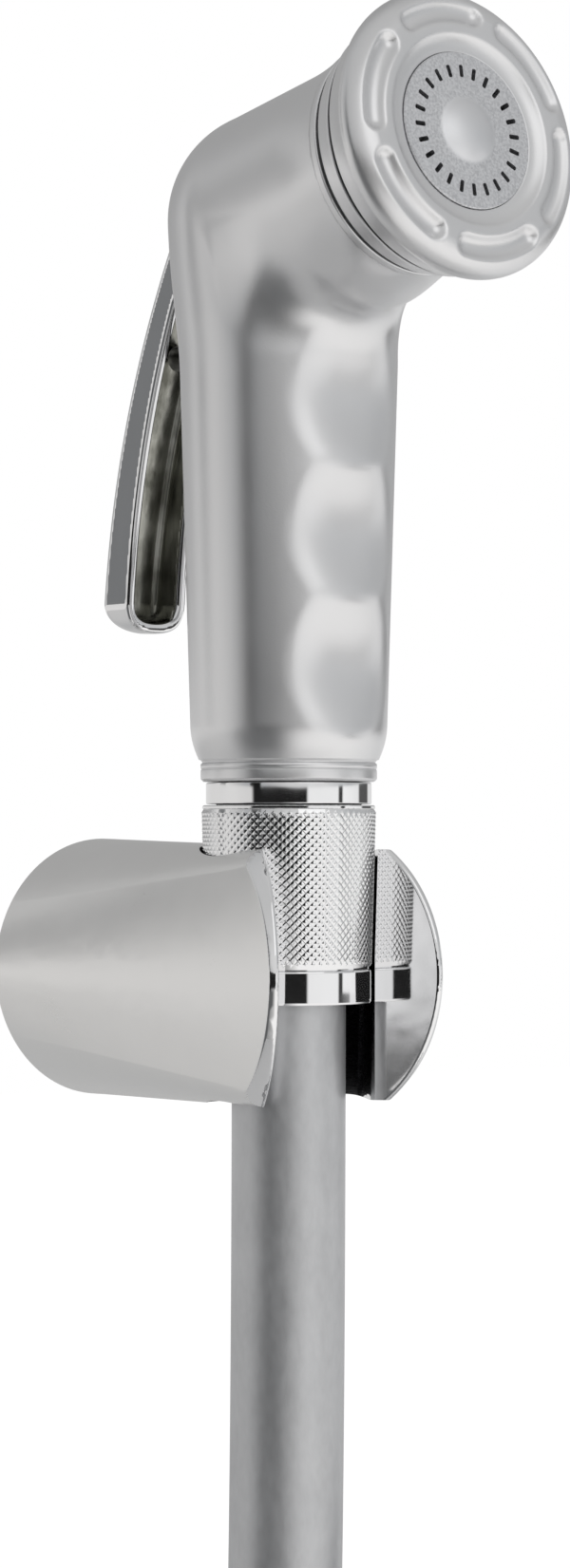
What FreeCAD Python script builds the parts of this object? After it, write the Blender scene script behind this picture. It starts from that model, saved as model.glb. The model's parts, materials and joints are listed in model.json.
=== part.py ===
import FreeCAD, Part
import Sketcher
import math
import os

# Handheld bath sprayer: a trigger handset that stands by its hose nut in a wall bracket.
# Millimetres. The origin is the middle of the bracket's wall face, +Z is up and -Y points into the room.

SIZES = (
    # wall bracket
    ("holder_reach", 42.5, "wall face to the handset's upright axis"),
    ("wall_disc_radius", 17.9, "round back end of the bracket"),
    ("fork_half_width", 14.2, "widest half width of the fork, at mid height"),
    ("fork_corner_half", 12.9, "half width of the fork at its top and bottom corners"),
    ("fork_half_height", 16.3, "half height of the fork"),
    ("fork_corner_radius", 1.2, "rounding of the fork's corners"),
    ("fork_reach", 17, "blank of the fork in front of the upright axis"),
    ("fork_ball_radius", 22.4, "ball that the fork's front is turned to"),
    ("fork_ball_back", 2.75, "the ball's centre behind the upright axis"),
    ("fan_angle", 30, "half angle of the round end that each flat side starts from"),
    ("roof_angle", 10, "half angle of the round end that top and bottom start from"),
    ("throat_half", 9.4, "half gap of the fork's throat"),
    ("throat_front", 6.4, "throat in front of the upright axis"),
    ("mouth_flare", 24, "flare of the fork's lips"),
    ("seat_gap", 0.3, "space between the hose nut and its seat"),
    ("plate_radius", 13, "wall plate"),
    ("plate_thickness", 6, "wall plate"),
    ("plate_gap", 0.1, "space round the wall plate"),
    ("screw_pitch", 15, "wall screws, centre to centre"),
    ("screw_hole_radius", 2.25, "for wall screws of 4 mm"),
    ("screw_head_radius", 4.2, "countersink"),
    ("grub_radius", 2, "locking screw, M4"),
    ("grub_length", 4.4, "locking screw"),
    # hose nut and inlet
    ("nut_drop", 3.7, "foot of the hose nut below the bracket's middle"),
    ("nut_length", 26, "hose nut"),
    ("nut_top_radius", 11.5, "hose nut at its wide end"),
    ("nut_foot_radius", 10.9, "hose nut at its plain foot ring"),
    ("nut_ring", 4.5, "height of the plain foot ring"),
    ("nut_shoulder", 11.0, "shoulder that pulls on the hose end, above the foot"),
    ("inlet_radius", 10.42, "half inch pipe thread, outside"),
    ("thread_gap", 0.08, "running gap in the threads"),
    ("inlet_length", 11.5, "threaded length under the collar"),
    ("inlet_bore", 6, "water way through the inlet"),
    ("collar_radius", 10.9, "bright collar between nut and handle"),
    ("collar_height", 2.8, "bright collar"),
    ("collar_gap", 0.15, "space above and below the collar"),
    ("socket_radius", 9, "threaded socket in the foot of the handle"),
    ("socket_depth", 12, "threaded socket"),
    # handset
    ("lip_radius", 11.6, "lip at the foot of the handle"),
    ("lip_height", 2.5, "lip at the foot of the handle"),
    ("handle_foot_radius", 12.9, "handle above its foot chamfer"),
    ("handle_top_radius", 14.5, "handle under the head"),
    ("shoulder_height", 5.4, "top of the foot chamfer"),
    ("neck_height", 60, "top of the straight handle"),
    ("head_height", 74.1, "ball of the shoulder above the lip's foot"),
    ("ball_radius", 14.4, "ball of the shoulder and barrel of the head"),
    ("ball_back", 2.5, "ball behind the upright axis"),
    ("neck_corner", 4, "radius under the head, at the handle's front"),
    ("head_rise", 9.4, "head axis above the level, degrees"),
    ("waterway_radius", 6, "bore up the handle"),
    ("waterway_top", 46, "end of the bore"),
    ("passage_radius", 2.5, "drilled passages to and from the valve"),
    ("dent_pitch", 17.2, "finger dents, centre to centre"),
    ("dent_first", 14.9, "lowest finger dent above the lip's foot"),
    ("dent_depth", 1.7, "finger dents"),
    ("dent_curve", 17, "radius of the finger dents seen from the side"),
    # head, measured along its axis from the ball's centre
    ("flare_start", 18.5, "end of the straight barrel"),
    ("seam_back", 28.2, "shoulder that carries the trim ring"),
    ("seam_front", 32.7, "back edge of the face cap"),
    ("seam_gap", 0.15, "visible gap of each seam"),
    ("seam_back_radius", 15.5, "flare at the back seam"),
    ("seam_front_radius", 16.9, "flare at the front seam"),
    ("spigot_radius", 12.5, "spigot that carries ring and cap"),
    ("spigot_end", 36, "front end of the spigot"),
    ("cap_gap", 0.08, "running gap between cap and spigot"),
    ("rim_radius", 18.5, "face cap at its widest"),
    ("rim_height", 37.3, "widest place of the face cap"),
    ("face_height", 39.1, "face of the spray plate"),
    ("window_radius", 10.1, "opening of the cap for the plate"),
    ("plate_edge_gap", 0.1, "gap round the spray plate"),
    ("plate_flange", 12.2, "flange of the spray plate under the cap"),
    ("flange_thickness", 0.9, "flange of the spray plate"),
    ("gasket_thickness", 1.0, "flat seal under the flange"),
    ("slot_count", 24, "slots of the spray plate"),
    ("slot_ring", 7.65, "radius of the ring of slots"),
    ("slot_length", 1.6, "slots, along the radius"),
    ("slot_width", 0.6, "slots"),
    ("dome_radius", 4.3, "dome in the middle of the plate"),
    ("dome_height", 1.1, "dome in the middle of the plate"),
    ("grip_count", 6, "finger recesses of the cap"),
    ("grip_start", 11, "first recess, degrees from the top"),
    ("grip_span", 40, "length of a recess, degrees"),
    ("grip_ring", 15.3, "radius of the ring of recesses"),
    ("grip_radius", 1.7, "half width of a recess"),
    ("grip_height", 40.4, "middle of the recesses' round bottom"),
    ("head_bore", 10, "water room behind the spray plate"),
    ("disc_radius", 10.45, "flow disc"),
    ("disc_seat", 33.4, "ledge that the flow disc lies on"),
    ("disc_thickness", 1.2, "flow disc"),
    # valve, measured along its axis from the upright axis, backwards positive
    ("valve_height", 58, "valve axis above the lip's foot"),
    ("chamber_radius", 4.6, "pressure room in front of the seat"),
    ("chamber_depth", 11, "front end of the pressure room"),
    ("seat_front", 2, "seat face in front of the upright axis"),
    ("seat_radius", 6.5, "bore for seat and gland"),
    ("seat_thickness", 2.5, "valve seat"),
    ("seat_hole", 2.8, "valve seat"),
    ("disc_valve_radius", 4.0, "valve disc"),
    ("stem_radius", 1.8, "valve stem"),
    ("stem_tip", 25.2, "end of the stem behind the upright axis"),
    ("stem_gap", 0.08, "running gap round the stem"),
    ("gland_front", 5, "front end of the gland"),
    ("gland_seat", 13, "face that the gland's head lies on"),
    ("gland_head", 6.2, "gland's head"),
    ("gland_head_thickness", 2.6, "gland's head"),
    ("ring_wire", 0.75, "half thickness of the stem's O-ring"),
    ("spring_radius", 3, "valve spring, middle of the wire"),
    ("spring_wire", 0.35, "valve spring, half thickness"),
    ("spring_turns", 4, "valve spring"),
    # lever, measured from the upright axis and the lip's foot
    ("pivot_back", 12.5, "lever pivot"),
    ("pivot_height", 70, "lever pivot"),
    ("pin_radius", 1.25, "lever pin"),
    ("pin_reach", 8.6, "half length of the lever pin"),
    ("hub_radius", 3.6, "lever round the pin"),
    ("lever_half_width", 5, "lever"),
    ("lever_wall", 1.5, "lever"),
    ("lever_curve", 118, "long curve of the lever's back"),
    ("lever_top_back", 19.0, "top of the lever's back"),
    ("lever_top_height", 75, "top of the lever's back"),
    ("lever_tip_back", 35.9, "tip of the lever"),
    ("lever_tip_height", 20.6, "lowest point of the lever"),
    ("lever_tip_curve", 4.6, "rounding of the tip seen from the side"),
    ("rim_top_back", 18.4, "front rim of the lever at its top"),
    ("rim_top_height", 66.0, "front rim of the lever at its top"),
    ("rim_low_back", 29.2, "front rim of the lever near its tip"),
    ("rim_low_height", 27, "front rim of the lever near its tip"),
    ("slot_gap", 0.35, "space between lever and slot"),
    # hose
    ("hose_radius", 7.5, "hose outside"),
    ("hose_bore", 5, "hose inside"),
    ("flange_radius", 10.1, "flange of the hose nipple"),
    ("flange_height", 1.5, "flange of the hose nipple"),
    ("barb_radius", 4.95, "nipple inside the hose"),
    ("barb_bore", 3.8, "water way of the nipple"),
    ("barb_length", 16, "nipple inside the hose"),
    ("ferrule_radius", 8.6, "crimped sleeve"),
    ("ferrule_length", 10, "crimped sleeve"),
    ("skirt_bore", 8.9, "foot of a nut round the sleeve"),
    ("washer_thickness", 2, "hose washers"),
    ("coil_radius", 80, "middle of the coil's turns"),
    ("coil_turns", 2, "turns of the coil"),
    ("coil_pitch", 15.9, "turns of the coil, centre to centre"),
    ("coil_height", 172, "middle of the coil below the bracket's middle"),
    ("coil_lean", 8, "lean of the coil's free end towards the room"),
    ("coil_tail", 22, "straight end of the coil"),
    ("tie_width", 12, "tie round the turns"),
    ("tie_thickness", 1.0, "tie round the turns"),
    ("tie_gap", 0.5, "space between tie and hose"),
    ("hex_half", 12, "end nut, half across its flats"),
    ("hex_length", 15, "end nut"),
    ("hex_shoulder", 4, "shoulder above the end nut's foot"),
)

# The hanging hose leans out a little before it meets the coil: X and Z of the route's points.
HOSE_LEAN = (
    (0.0, -50.0),
    (-1.3, -112.0),
)

doc = FreeCAD.newDocument("hand_sprayer")
V = FreeCAD.Vector
X_AXIS = V(1, 0, 0)


class Size:
    """A length with the spreadsheet formula that gives it, so that sums of sizes bind by themselves."""

    def __init__(self, value, text):
        self.value = value
        self.text = text

    @staticmethod
    def of(other):
        if isinstance(other, Size):
            return other
        return Size(float(other), "(" + repr(float(other)) + ")")

    def join(self, other, sign, value):
        return Size(value, "(" + self.text + " " + sign + " " + other.text + ")")

    def __add__(self, other):
        other = Size.of(other)
        return self.join(other, "+", self.value + other.value)

    def __sub__(self, other):
        other = Size.of(other)
        return self.join(other, "-", self.value - other.value)

    def __mul__(self, other):
        other = Size.of(other)
        return self.join(other, "*", self.value * other.value)

    def __truediv__(self, other):
        other = Size.of(other)
        return self.join(other, "/", self.value / other.value)

    def __radd__(self, other):
        return Size.of(other) + self

    def __rsub__(self, other):
        return Size.of(other) - self

    def __rmul__(self, other):
        return Size.of(other) * self

    def __rtruediv__(self, other):
        return Size.of(other) / self

    def __neg__(self):
        return Size(-self.value, "(0 - " + self.text + ")")


def sine(angle):
    return Size(math.sin(math.radians(angle.value)), "sin(" + angle.text + ")")


def cosine(angle):
    return Size(math.cos(math.radians(angle.value)), "cos(" + angle.text + ")")


def tangent(angle):
    return Size(math.tan(math.radians(angle.value)), "tan(" + angle.text + ")")


class Sizes:
    """The driving dimensions, each one a cell of the spreadsheet with an alias."""

    def __init__(self, rows):
        self.sheet = doc.addObject("Spreadsheet::Sheet", "sizes")
        for row, (alias, value, note) in enumerate(rows, start=1):
            self.sheet.set("A%d" % row, note)
            self.sheet.set("B%d" % row, str(value))
            self.sheet.setAlias("B%d" % row, alias)
            setattr(self, alias, Size(float(value), "sizes." + alias))


s = Sizes(SIZES)
doc.recompute()

# Places that several pieces share.
axis_y = -s.holder_reach
nut_z = -s.nut_drop
collar_z = nut_z + s.nut_length + s.collar_gap
body_z = collar_z + s.collar_height + s.collar_gap
ball_y = axis_y + s.ball_back
ball_z = body_z + s.head_height
valve_z = body_z + s.valve_height
head_turn = 90 - s.head_rise
flange_z = nut_z + s.nut_shoulder + s.flange_height + 0.1


def bind(item, name, size):
    """Set a property from the spreadsheet."""
    size = Size.of(size)
    item.setExpression(name, size.text)


def place(item, x=0, y=0, z=0, turn=0):
    """Put an item in its place; turn is its angle about X in degrees."""
    turn = Size.of(turn)
    item.Placement = FreeCAD.Placement(V(0, 0, 0), FreeCAD.Rotation(X_AXIS, turn.value))
    for name, size in (("x", x), ("y", y), ("z", z)):
        bind(item, "Placement.Base." + name, size)
    if abs(turn.value) > 0:
        bind(item, "Placement.Rotation.Angle", turn)
    return item


def add(kind, name, **sizes):
    """Add a Part primitive or boolean and bind its sizes."""
    item = doc.addObject(kind, name)
    for key, size in sizes.items():
        bind(item, key, size)
    return item


def rod(name, radius, low, high, x=0, y=0, turn=0):
    """A cylinder that stands between two heights."""
    low = Size.of(low)
    item = add("Part::Cylinder", name, Radius=radius, Height=high - low)
    return place(item, x, y, low, turn)


def block(name, low, high):
    """A box between two corners."""
    sides = {}
    for key, a, b in zip(("Length", "Width", "Height"), low, high):
        sides[key] = Size.of(b) - Size.of(a)
    return place(add("Part::Box", name, **sides), *low)


def fuse(name, *items):
    item = doc.addObject("Part::MultiFuse", name)
    item.Shapes = list(items)
    return item


def common(name, first, second):
    item = doc.addObject("Part::MultiCommon", name)
    item.Shapes = [first, second]
    return item


def cut(name, base, *tools):
    item = doc.addObject("Part::Cut", name)
    item.Base = base
    item.Tool = tools[0] if len(tools) == 1 else fuse(name + "_tools", *tools)
    return item


def round_edges(name, base, radius, wanted):
    """Round the edges whose middle point answers the test."""
    doc.recompute()
    edges = []
    for number, edge in enumerate(base.Shape.Edges, start=1):
        if wanted(edge):
            edges.append((number, radius.value, radius.value))
    item = doc.addObject("Part::Fillet", name)
    item.Base = base
    item.Edges = edges
    return item


def middle(edge):
    return edge.valueAt((edge.FirstParameter + edge.LastParameter) / 2)


def plane_of(body, role):
    return [item for item in body.Origin.OriginFeatures if item.Role == role][0]


def arc_middle(start, end, radius):
    """Middle of an arc between two points; the centre lies left of the way for a positive radius."""
    chord = end - start
    half = chord.Length / 2
    sag = abs(radius) - math.sqrt(radius * radius - half * half)
    side = V(chord.y, -chord.x, 0)
    side.normalize()
    if radius < 0:
        sag = -sag
    return (start + end) / 2 + side * sag


def outline(body, role, corners):
    """A closed sketch through corners (x, y) or (x, y, radius of the arc that leaves the corner)."""
    sketch = body.newObject("Sketcher::SketchObject", body.Name + "_outline")
    sketch.AttachmentSupport = [(plane_of(body, role), "")]
    sketch.MapMode = "FlatFace"
    corners = [tuple(Size.of(number) for number in corner) for corner in corners]
    points = [V(corner[0].value, corner[1].value, 0) for corner in corners]
    ends = []
    for number, corner in enumerate(corners):
        start = points[number]
        end = points[(number + 1) % len(points)]
        if len(corner) == 2:
            sketch.addGeometry(Part.LineSegment(start, end), False)
            ends.append((1, 2))
            continue
        between = arc_middle(start, end, corner[2].value)
        if corner[2].value > 0:
            sketch.addGeometry(Part.Arc(start, between, end), False)
            ends.append((1, 2))
        else:
            sketch.addGeometry(Part.Arc(end, between, start), False)
            ends.append((2, 1))
        index = sketch.addConstraint(Sketcher.Constraint("Radius", number, abs(corner[2].value)))
        bind(sketch, "Constraints[%d]" % index, corner[2] if corner[2].value > 0 else -corner[2])
    for number, corner in enumerate(corners):
        following = (number + 1) % len(corners)
        begin = ends[number][0]
        joint = ("Coincident", number, ends[number][1], following, ends[following][0])
        sketch.addConstraint(Sketcher.Constraint(*joint))
        for kind, line, size in (("DistanceX", -2, corner[0]), ("DistanceY", -1, corner[1])):
            if size.value == 0:
                sketch.addConstraint(Sketcher.Constraint("PointOnObject", number, begin, line))
                continue
            rule = Sketcher.Constraint(kind, -1, 1, number, begin, size.value)
            bind(sketch, "Constraints[%d]" % sketch.addConstraint(rule), size)
    return sketch


def turned(name, corners):
    """A piece made on the lathe: its half section (radius, height) turned about Z."""
    body = doc.addObject("PartDesign::Body", name)
    sketch = outline(body, "XZ_Plane", corners)
    turn = body.newObject("PartDesign::Revolution", name + "_turn")
    turn.Profile = sketch
    turn.ReferenceAxis = (sketch, ["V_Axis"])
    turn.Angle = 360
    return body


def padded(name, role, corners, width):
    """A sketch on an origin plane, padded to both sides."""
    body = doc.addObject("PartDesign::Body", name)
    sketch = outline(body, role, corners)
    pad = body.newObject("PartDesign::Pad", name + "_pad")
    pad.Profile = sketch
    pad.Midplane = True
    bind(pad, "Length", width)
    return body


def sleeve(name, outer, inner, low, high):
    """A plain turned ring or tube."""
    return turned(name, ((inner, low), (outer, low), (outer, high), (inner, high)))


def feature(name, shape, x=0, y=0, z=0):
    """A shape made with Part's own functions."""
    item = doc.addObject("Part::Feature", name)
    item.Shape = shape
    item.Placement = FreeCAD.Placement(V(x, y, z), FreeCAD.Rotation())
    return item


NODES = []


def node(name, item):
    """Name a finished piece."""
    item.Label = name
    NODES.append((name, item))
    return item


# Wall bracket


def ring_point(radius, degrees):
    angle = math.radians(degrees)
    return V(radius * math.cos(angle), 0, radius * math.sin(angle))


def fork_blank():
    """Ruled loft from the round wall end to the upright fork, edge for edge."""
    radius = s.wall_disc_radius.value
    fan = s.fan_angle.value
    half_width = s.fork_half_width.value
    corner_half = s.fork_corner_half.value
    half_height = s.fork_half_height.value
    small = s.fork_corner_radius.value
    front = -s.holder_reach.value - s.fork_reach.value
    bend = small * (1 - math.sqrt(0.5))
    back_edges = []
    front_edges = []
    roof = s.roof_angle.value
    for start in (0, 180):
        back_edges.append((start - fan, start, start + fan))
        back_edges.append((start + fan, start + 45 + (fan - roof) / 2, start + 90 - roof))
        back_edges.append((start + 90 - roof, start + 90, start + 90 + roof))
        back_edges.append((start + 90 + roof, start + 135 - (fan - roof) / 2, start + 180 - fan))
    right = [V(corner_half, front, small - half_height), V(half_width, front, 0),
             V(corner_half, front, half_height - small)]
    corner = [right[2], V(corner_half - bend, front, half_height - bend),
              V(corner_half - small, front, half_height)]
    top = [corner[2], V(0, front, half_height), V(small - corner_half, front, half_height)]
    flip = [V(-p.x, p.y, p.z) for p in reversed(corner)]
    upper = [right, corner, top, flip]
    for run in upper:
        front_edges.append(run)
    for run in upper:
        front_edges.append([V(-p.x, p.y, -p.z) for p in run])
    wires = []
    edges = []
    for first, between, last in back_edges:
        points = [ring_point(radius, angle) for angle in (first, between, last)]
        edges.append(Part.Arc(*points).toShape())
    wires.append(Part.Wire(edges))
    edges = []
    for points in front_edges:
        if abs(points[0].z - points[1].z) < 0.001 and abs(points[1].z - points[2].z) < 0.001:
            edges.append(Part.LineSegment(points[0], points[2]).toShape())
        else:
            edges.append(Part.Arc(*points).toShape())
    wires.append(Part.Wire(edges))
    return feature("fork_blank", Part.makeLoft(wires, True, True))


def make_bracket():
    """The holder: loft, ball-turned front, tapered seat, flared mouth and plate recess."""
    ball_y_place = axis_y + s.fork_ball_back
    ball = place(add("Part::Sphere", "fork_ball", Radius=s.fork_ball_radius), 0, ball_y_place, 0)
    behind = add("Part::Cylinder", "fork_behind", Radius=s.fork_ball_radius, Height=-ball_y_place)
    place(behind, 0, 0, 0, 90)
    bullet = fuse("fork_bullet", ball, behind)
    form = common("fork_form", fork_blank(), bullet)
    taper = (s.nut_top_radius - s.nut_foot_radius) / (s.nut_length - s.nut_ring)
    seat_low = -s.fork_half_height - 2
    low_radius = s.nut_foot_radius + s.seat_gap + taper * (seat_low - nut_z)
    high_radius = s.nut_foot_radius + s.seat_gap + taper * (-seat_low - nut_z)
    seat = add("Part::Cone", "seat_bore", Radius1=low_radius, Radius2=high_radius, Height=-2 * seat_low)
    place(seat, 0, axis_y, seat_low)
    mouth_end = 24
    mouth_half = s.throat_half + tangent(s.mouth_flare) * (mouth_end - s.throat_front)
    mouth = padded("mouth", "XY_Plane", (
        (s.throat_half, -s.throat_front),
        (-s.throat_half, -s.throat_front),
        (-mouth_half, -mouth_end),
        (mouth_half, -mouth_end),
    ), -2 * seat_low)
    place(mouth, 0, axis_y, 0)
    way = block("hose_way", (-s.throat_half, axis_y - s.throat_front - 0.5, seat_low),
                (s.throat_half, axis_y, -seat_low))
    recess = add("Part::Cylinder", "plate_recess", Radius=s.plate_radius + s.plate_gap,
                 Height=s.plate_thickness + s.plate_gap + 1)
    place(recess, 0, 1, 0, 90)
    grub_hole = rod("grub_hole", s.grub_radius, -s.wall_disc_radius - 1, -s.plate_radius + 1,
                    y=-s.plate_thickness / 2)
    solid = cut("bracket_sharp", form, seat, mouth, way, recess, grub_hole)
    front_y = -s.holder_reach.value - s.throat_front.value - 0.5

    def on_lip(edge):
        point = middle(edge)
        radius = (point - V(0, ball_y_place.value, 0)).Length
        on_ball = abs(radius - s.fork_ball_radius.value) < 0.05
        return on_ball and point.y < front_y and edge.Length > 20

    return node("bracket", round_edges("bracket", solid, Size.of(0.5), on_lip))


def make_wall_plate():
    """Round plate with two countersunk holes."""
    plate = add("Part::Cylinder", "wall_plate_blank", Radius=s.plate_radius, Height=s.plate_thickness)
    place(plate, 0, 0, 0, 90)
    holes = []
    for side in (-1, 1):
        x = s.screw_pitch * (side * 0.5)
        hole = add("Part::Cylinder", "screw_hole", Radius=s.screw_hole_radius,
                   Height=s.plate_thickness + 2)
        holes.append(place(hole, x, 1, 0, 90))
        sink_depth = s.screw_head_radius - s.screw_hole_radius
        sink = add("Part::Cone", "screw_sink", Radius1=s.screw_hole_radius,
                   Radius2=s.screw_head_radius, Height=sink_depth)
        holes.append(place(sink, x, sink_depth - s.plate_thickness, 0, 90))
    return node("wall_plate", cut("wall_plate", plate, *holes))


def make_grub_screw():
    """Locking screw with a hexagon socket, pointing up at the plate's edge."""
    tip = -s.plate_radius - 0.05
    screw = rod("grub_blank", s.grub_radius - 0.05, tip - s.grub_length, tip, y=-s.plate_thickness / 2)
    socket = add("Part::Prism", "grub_socket", Circumradius=s.grub_radius * 0.5, Height=2)
    place(socket, 0, -s.plate_thickness / 2, tip - s.grub_length - 0.5)
    return node("bracket_grub_screw", cut("bracket_grub_screw", screw, socket))


# Hose nut, inlet and the two ends of the hose


def make_hose_nut():
    """Tapered nut with a plain foot ring; its bore steps in to a shoulder above the skirt."""
    edge = 0.5
    body = turned("hose_nut", (
        (s.skirt_bore, 0),
        (s.nut_foot_radius - edge, 0),
        (s.nut_foot_radius, edge),
        (s.nut_foot_radius, s.nut_ring),
        (s.nut_top_radius, s.nut_length - edge),
        (s.nut_top_radius - edge, s.nut_length),
        (s.inlet_radius + s.thread_gap, s.nut_length),
        (s.inlet_radius + s.thread_gap, s.nut_shoulder),
        (s.skirt_bore, s.nut_shoulder),
    ))
    return node("hose_nut", place(body, 0, axis_y, nut_z))


def make_inlet():
    """Inlet connector: thread up into the handle, bright collar, thread down into the nut."""
    edge = 0.3
    body = turned("inlet_connector", (
        (s.inlet_bore, -s.inlet_length),
        (s.inlet_radius - edge, -s.inlet_length),
        (s.inlet_radius, edge - s.inlet_length),
        (s.inlet_radius, 0),
        (s.collar_radius - edge, 0),
        (s.collar_radius, edge),
        (s.collar_radius, s.collar_height - edge),
        (s.collar_radius - edge, s.collar_height),
        (s.socket_radius - 0.05, s.collar_height),
        (s.socket_radius - 0.05, s.collar_height + s.collar_gap + s.socket_depth - 2),
        (s.inlet_bore, s.collar_height + s.collar_gap + s.socket_depth - 2),
    ))
    node("inlet_connector", place(body, 0, axis_y, collar_z))
    wire = 0.9
    seal = add("Part::Torus", "connector_o_ring", Radius1=s.socket_radius - wire - 0.4, Radius2=wire)
    node("connector_o_ring", place(seal, 0, axis_y, body_z + s.socket_depth - 1.03))


def hose_end(prefix, y, z, turn=0, x=0):
    """Washer, barbed nipple and crimped sleeve of one end; z is the flange's sealing face."""
    foot = s.flange_height
    nipple = turned(prefix + "_nipple", (
        (s.barb_bore, 0),
        (s.barb_bore, -foot - s.barb_length),
        (s.barb_radius - 0.4, -foot - s.barb_length),
        (s.barb_radius, 1.2 - foot - s.barb_length),
        (s.barb_radius, -foot),
        (s.flange_radius, -foot),
        (s.flange_radius, 0),
    ))
    node(prefix + "_nipple", place(nipple, x, y, z, turn))
    ferrule = turned(prefix + "_ferrule", (
        (s.hose_radius + 0.05, -foot - 0.05),
        (s.hose_radius + 0.05, -foot - s.ferrule_length),
        (s.ferrule_radius - 0.4, -foot - s.ferrule_length),
        (s.ferrule_radius, 0.4 - foot - s.ferrule_length),
        (s.ferrule_radius, -foot - 0.05),
    ))
    node(prefix + "_ferrule", place(ferrule, x, y, z, turn))
    washer = sleeve(prefix + "_washer", s.flange_radius, s.inlet_bore, 0, s.washer_thickness)
    node(prefix + "_washer", place(washer, x, y, z, turn))


def make_end_nut(y, z):
    """Hexagon nut of the far end, chamfered, opening downwards."""
    corner = s.hex_half / cosine(Size.of(30))
    low = -s.hex_shoulder - s.flange_height
    high = low + s.hex_length
    prism = place(add("Part::Prism", "hex_prism", Circumradius=corner, Height=s.hex_length), 0, 0, low)
    edge = 1.0
    blank = turned("hex_turned", (
        (0, low),
        (s.hex_half, low),
        (corner + 0.1, low + edge),
        (corner + 0.1, high - edge),
        (s.hex_half, high),
        (0, high),
    ))
    form = common("hex_form", prism, blank)
    skirt = rod("hex_skirt", s.skirt_bore, low - 1, -s.flange_height - 0.1)
    bore = rod("hex_bore", s.inlet_radius + s.thread_gap, 0, high + 1)
    relief = rod("hex_relief", s.inlet_radius + 0.25, -s.flange_height - 0.1, s.washer_thickness + 0.1)
    nut = cut("end_nut", form, skirt, bore, relief)
    return node("end_nut", place(nut, hose_x, y, z, 180))


# Hose: route, coil and tie


def tangent_arc(start, corner, end):
    """Arc from start to end whose tangents meet in the corner."""
    chord_middle = (start + end) / 2
    rise = corner - chord_middle
    leg = (corner - start).Length
    half_chord = (end - start).Length / 2
    half_turn = math.acos(half_chord / leg)
    radius = half_chord / math.sin(half_turn)
    rise.normalize()
    return Part.Arc(start, chord_middle + rise * (radius * (1 - math.cos(half_turn))), end), radius


def rounded_route(points):
    """Straight runs joined by tangent arcs, each arc as large as its two runs allow."""
    edges = []
    here = points[0]
    for before, corner, after in zip(points, points[1:], points[2:]):
        way_in = before - corner
        way_out = after - corner
        shorter = min(way_in.Length, way_out.Length)
        way_in.normalize()
        way_out.normalize()
        start = corner + way_in * (0.45 * shorter)
        end = corner + way_out * (0.45 * shorter)
        arc, radius = tangent_arc(start, corner, end)
        print("hose bend radius %.0f mm" % radius)
        edges.append(Part.LineSegment(here, start).toShape())
        edges.append(arc.toShape())
        here = end
    edges.append(Part.LineSegment(here, points[-1]).toShape())
    return Part.Wire(edges)


def pipe(path, radius, start, direction):
    """Round bar along a path."""
    section = Part.Wire(Part.makeCircle(radius, start, direction))
    return path.makePipeShell([section], True, False)


def hose_tube(path, start, direction):
    """Hollow hose along a path, compared with its section times its length."""
    outer = pipe(path, s.hose_radius.value, start, direction)
    inner = pipe(path, s.hose_bore.value, start, direction)
    tube = outer.cut(inner)
    section = math.pi * (s.hose_radius.value ** 2 - s.hose_bore.value ** 2)
    print("hose stretch %.1f mm, volume ratio %.4f" % (path.Length, tube.Volume / (section * path.Length)))
    return tube


def coil_point(degrees):
    """Place on the coil's middle line; the turns start upright at its left side and go down."""
    angle = math.radians(degrees)
    radius = s.coil_radius.value
    step = s.coil_pitch.value * degrees / 360
    past_tie = degrees - 360 * s.coil_turns.value + 180
    if past_tie > 0:
        step += s.coil_lean.value * past_tie / 180
    return V(hose_x.value + radius * (1 - math.cos(angle)), axis_y.value - step,
             -s.coil_height.value - radius * math.sin(angle))


def coil_way(degrees):
    """Direction of the coil's middle line; its two ends point straight down."""
    if degrees in (0, 360 * s.coil_turns.value):
        return V(0, 0, -1)
    way = coil_point(degrees + 1) - coil_point(degrees - 1)
    way.normalize()
    return way


def biarc(start, way_in, end, way_out):
    """Two arcs between two places with given directions."""
    gap = end - start
    both = way_in + way_out
    turn = 2 * (1 - way_in.dot(way_out))
    reach = (math.sqrt(gap.dot(both) ** 2 + turn * gap.dot(gap)) - gap.dot(both)) / turn
    first_corner = start + way_in * reach
    second_corner = end - way_out * reach
    joint = (first_corner + second_corner) / 2
    first = tangent_arc(start, first_corner, joint)[0]
    second = tangent_arc(joint, second_corner, end)[0]
    return [first.toShape(), second.toShape()]


def coil_path():
    """Quarter turns of two arcs each, then the straight tail."""
    edges = []
    quarters = int(s.coil_turns.value * 4)
    for quarter in range(quarters):
        low = quarter * 90
        high = low + 90
        edges += biarc(coil_point(low), coil_way(low), coil_point(high), coil_way(high))
    last = coil_point(quarters * 90)
    edges.append(Part.LineSegment(last, last - V(0, 0, s.coil_tail.value)).toShape())
    return Part.Wire(edges)


def coil_gap(path):
    """Least space between two turns, on points along the middle line."""
    points = path.discretize(400)
    reach = int(400 / s.coil_turns.value / 2)
    least = 1000.0
    for number, point in enumerate(points):
        for other in points[number + reach:]:
            least = min(least, point.distanceToPoint(other))
    return least - 2 * s.hose_radius.value


def make_hose():
    """Hanging stretch, coil and tie."""
    top = V(0, axis_y.value, (flange_z - s.flange_height).value - 0.05)
    points = [top]
    for x, z in HOSE_LEAN:
        points.append(V(x, axis_y.value, z))
    points.append(coil_point(0))
    node("hose", feature("hose", hose_tube(rounded_route(points), top, V(0, 0, -1))))
    path = coil_path()
    print("least gap between the turns %.2f mm" % coil_gap(path))
    node("hose_coil", feature("hose_coil", hose_tube(path, coil_point(0), V(0, 0, -1))))
    make_tie()


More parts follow.
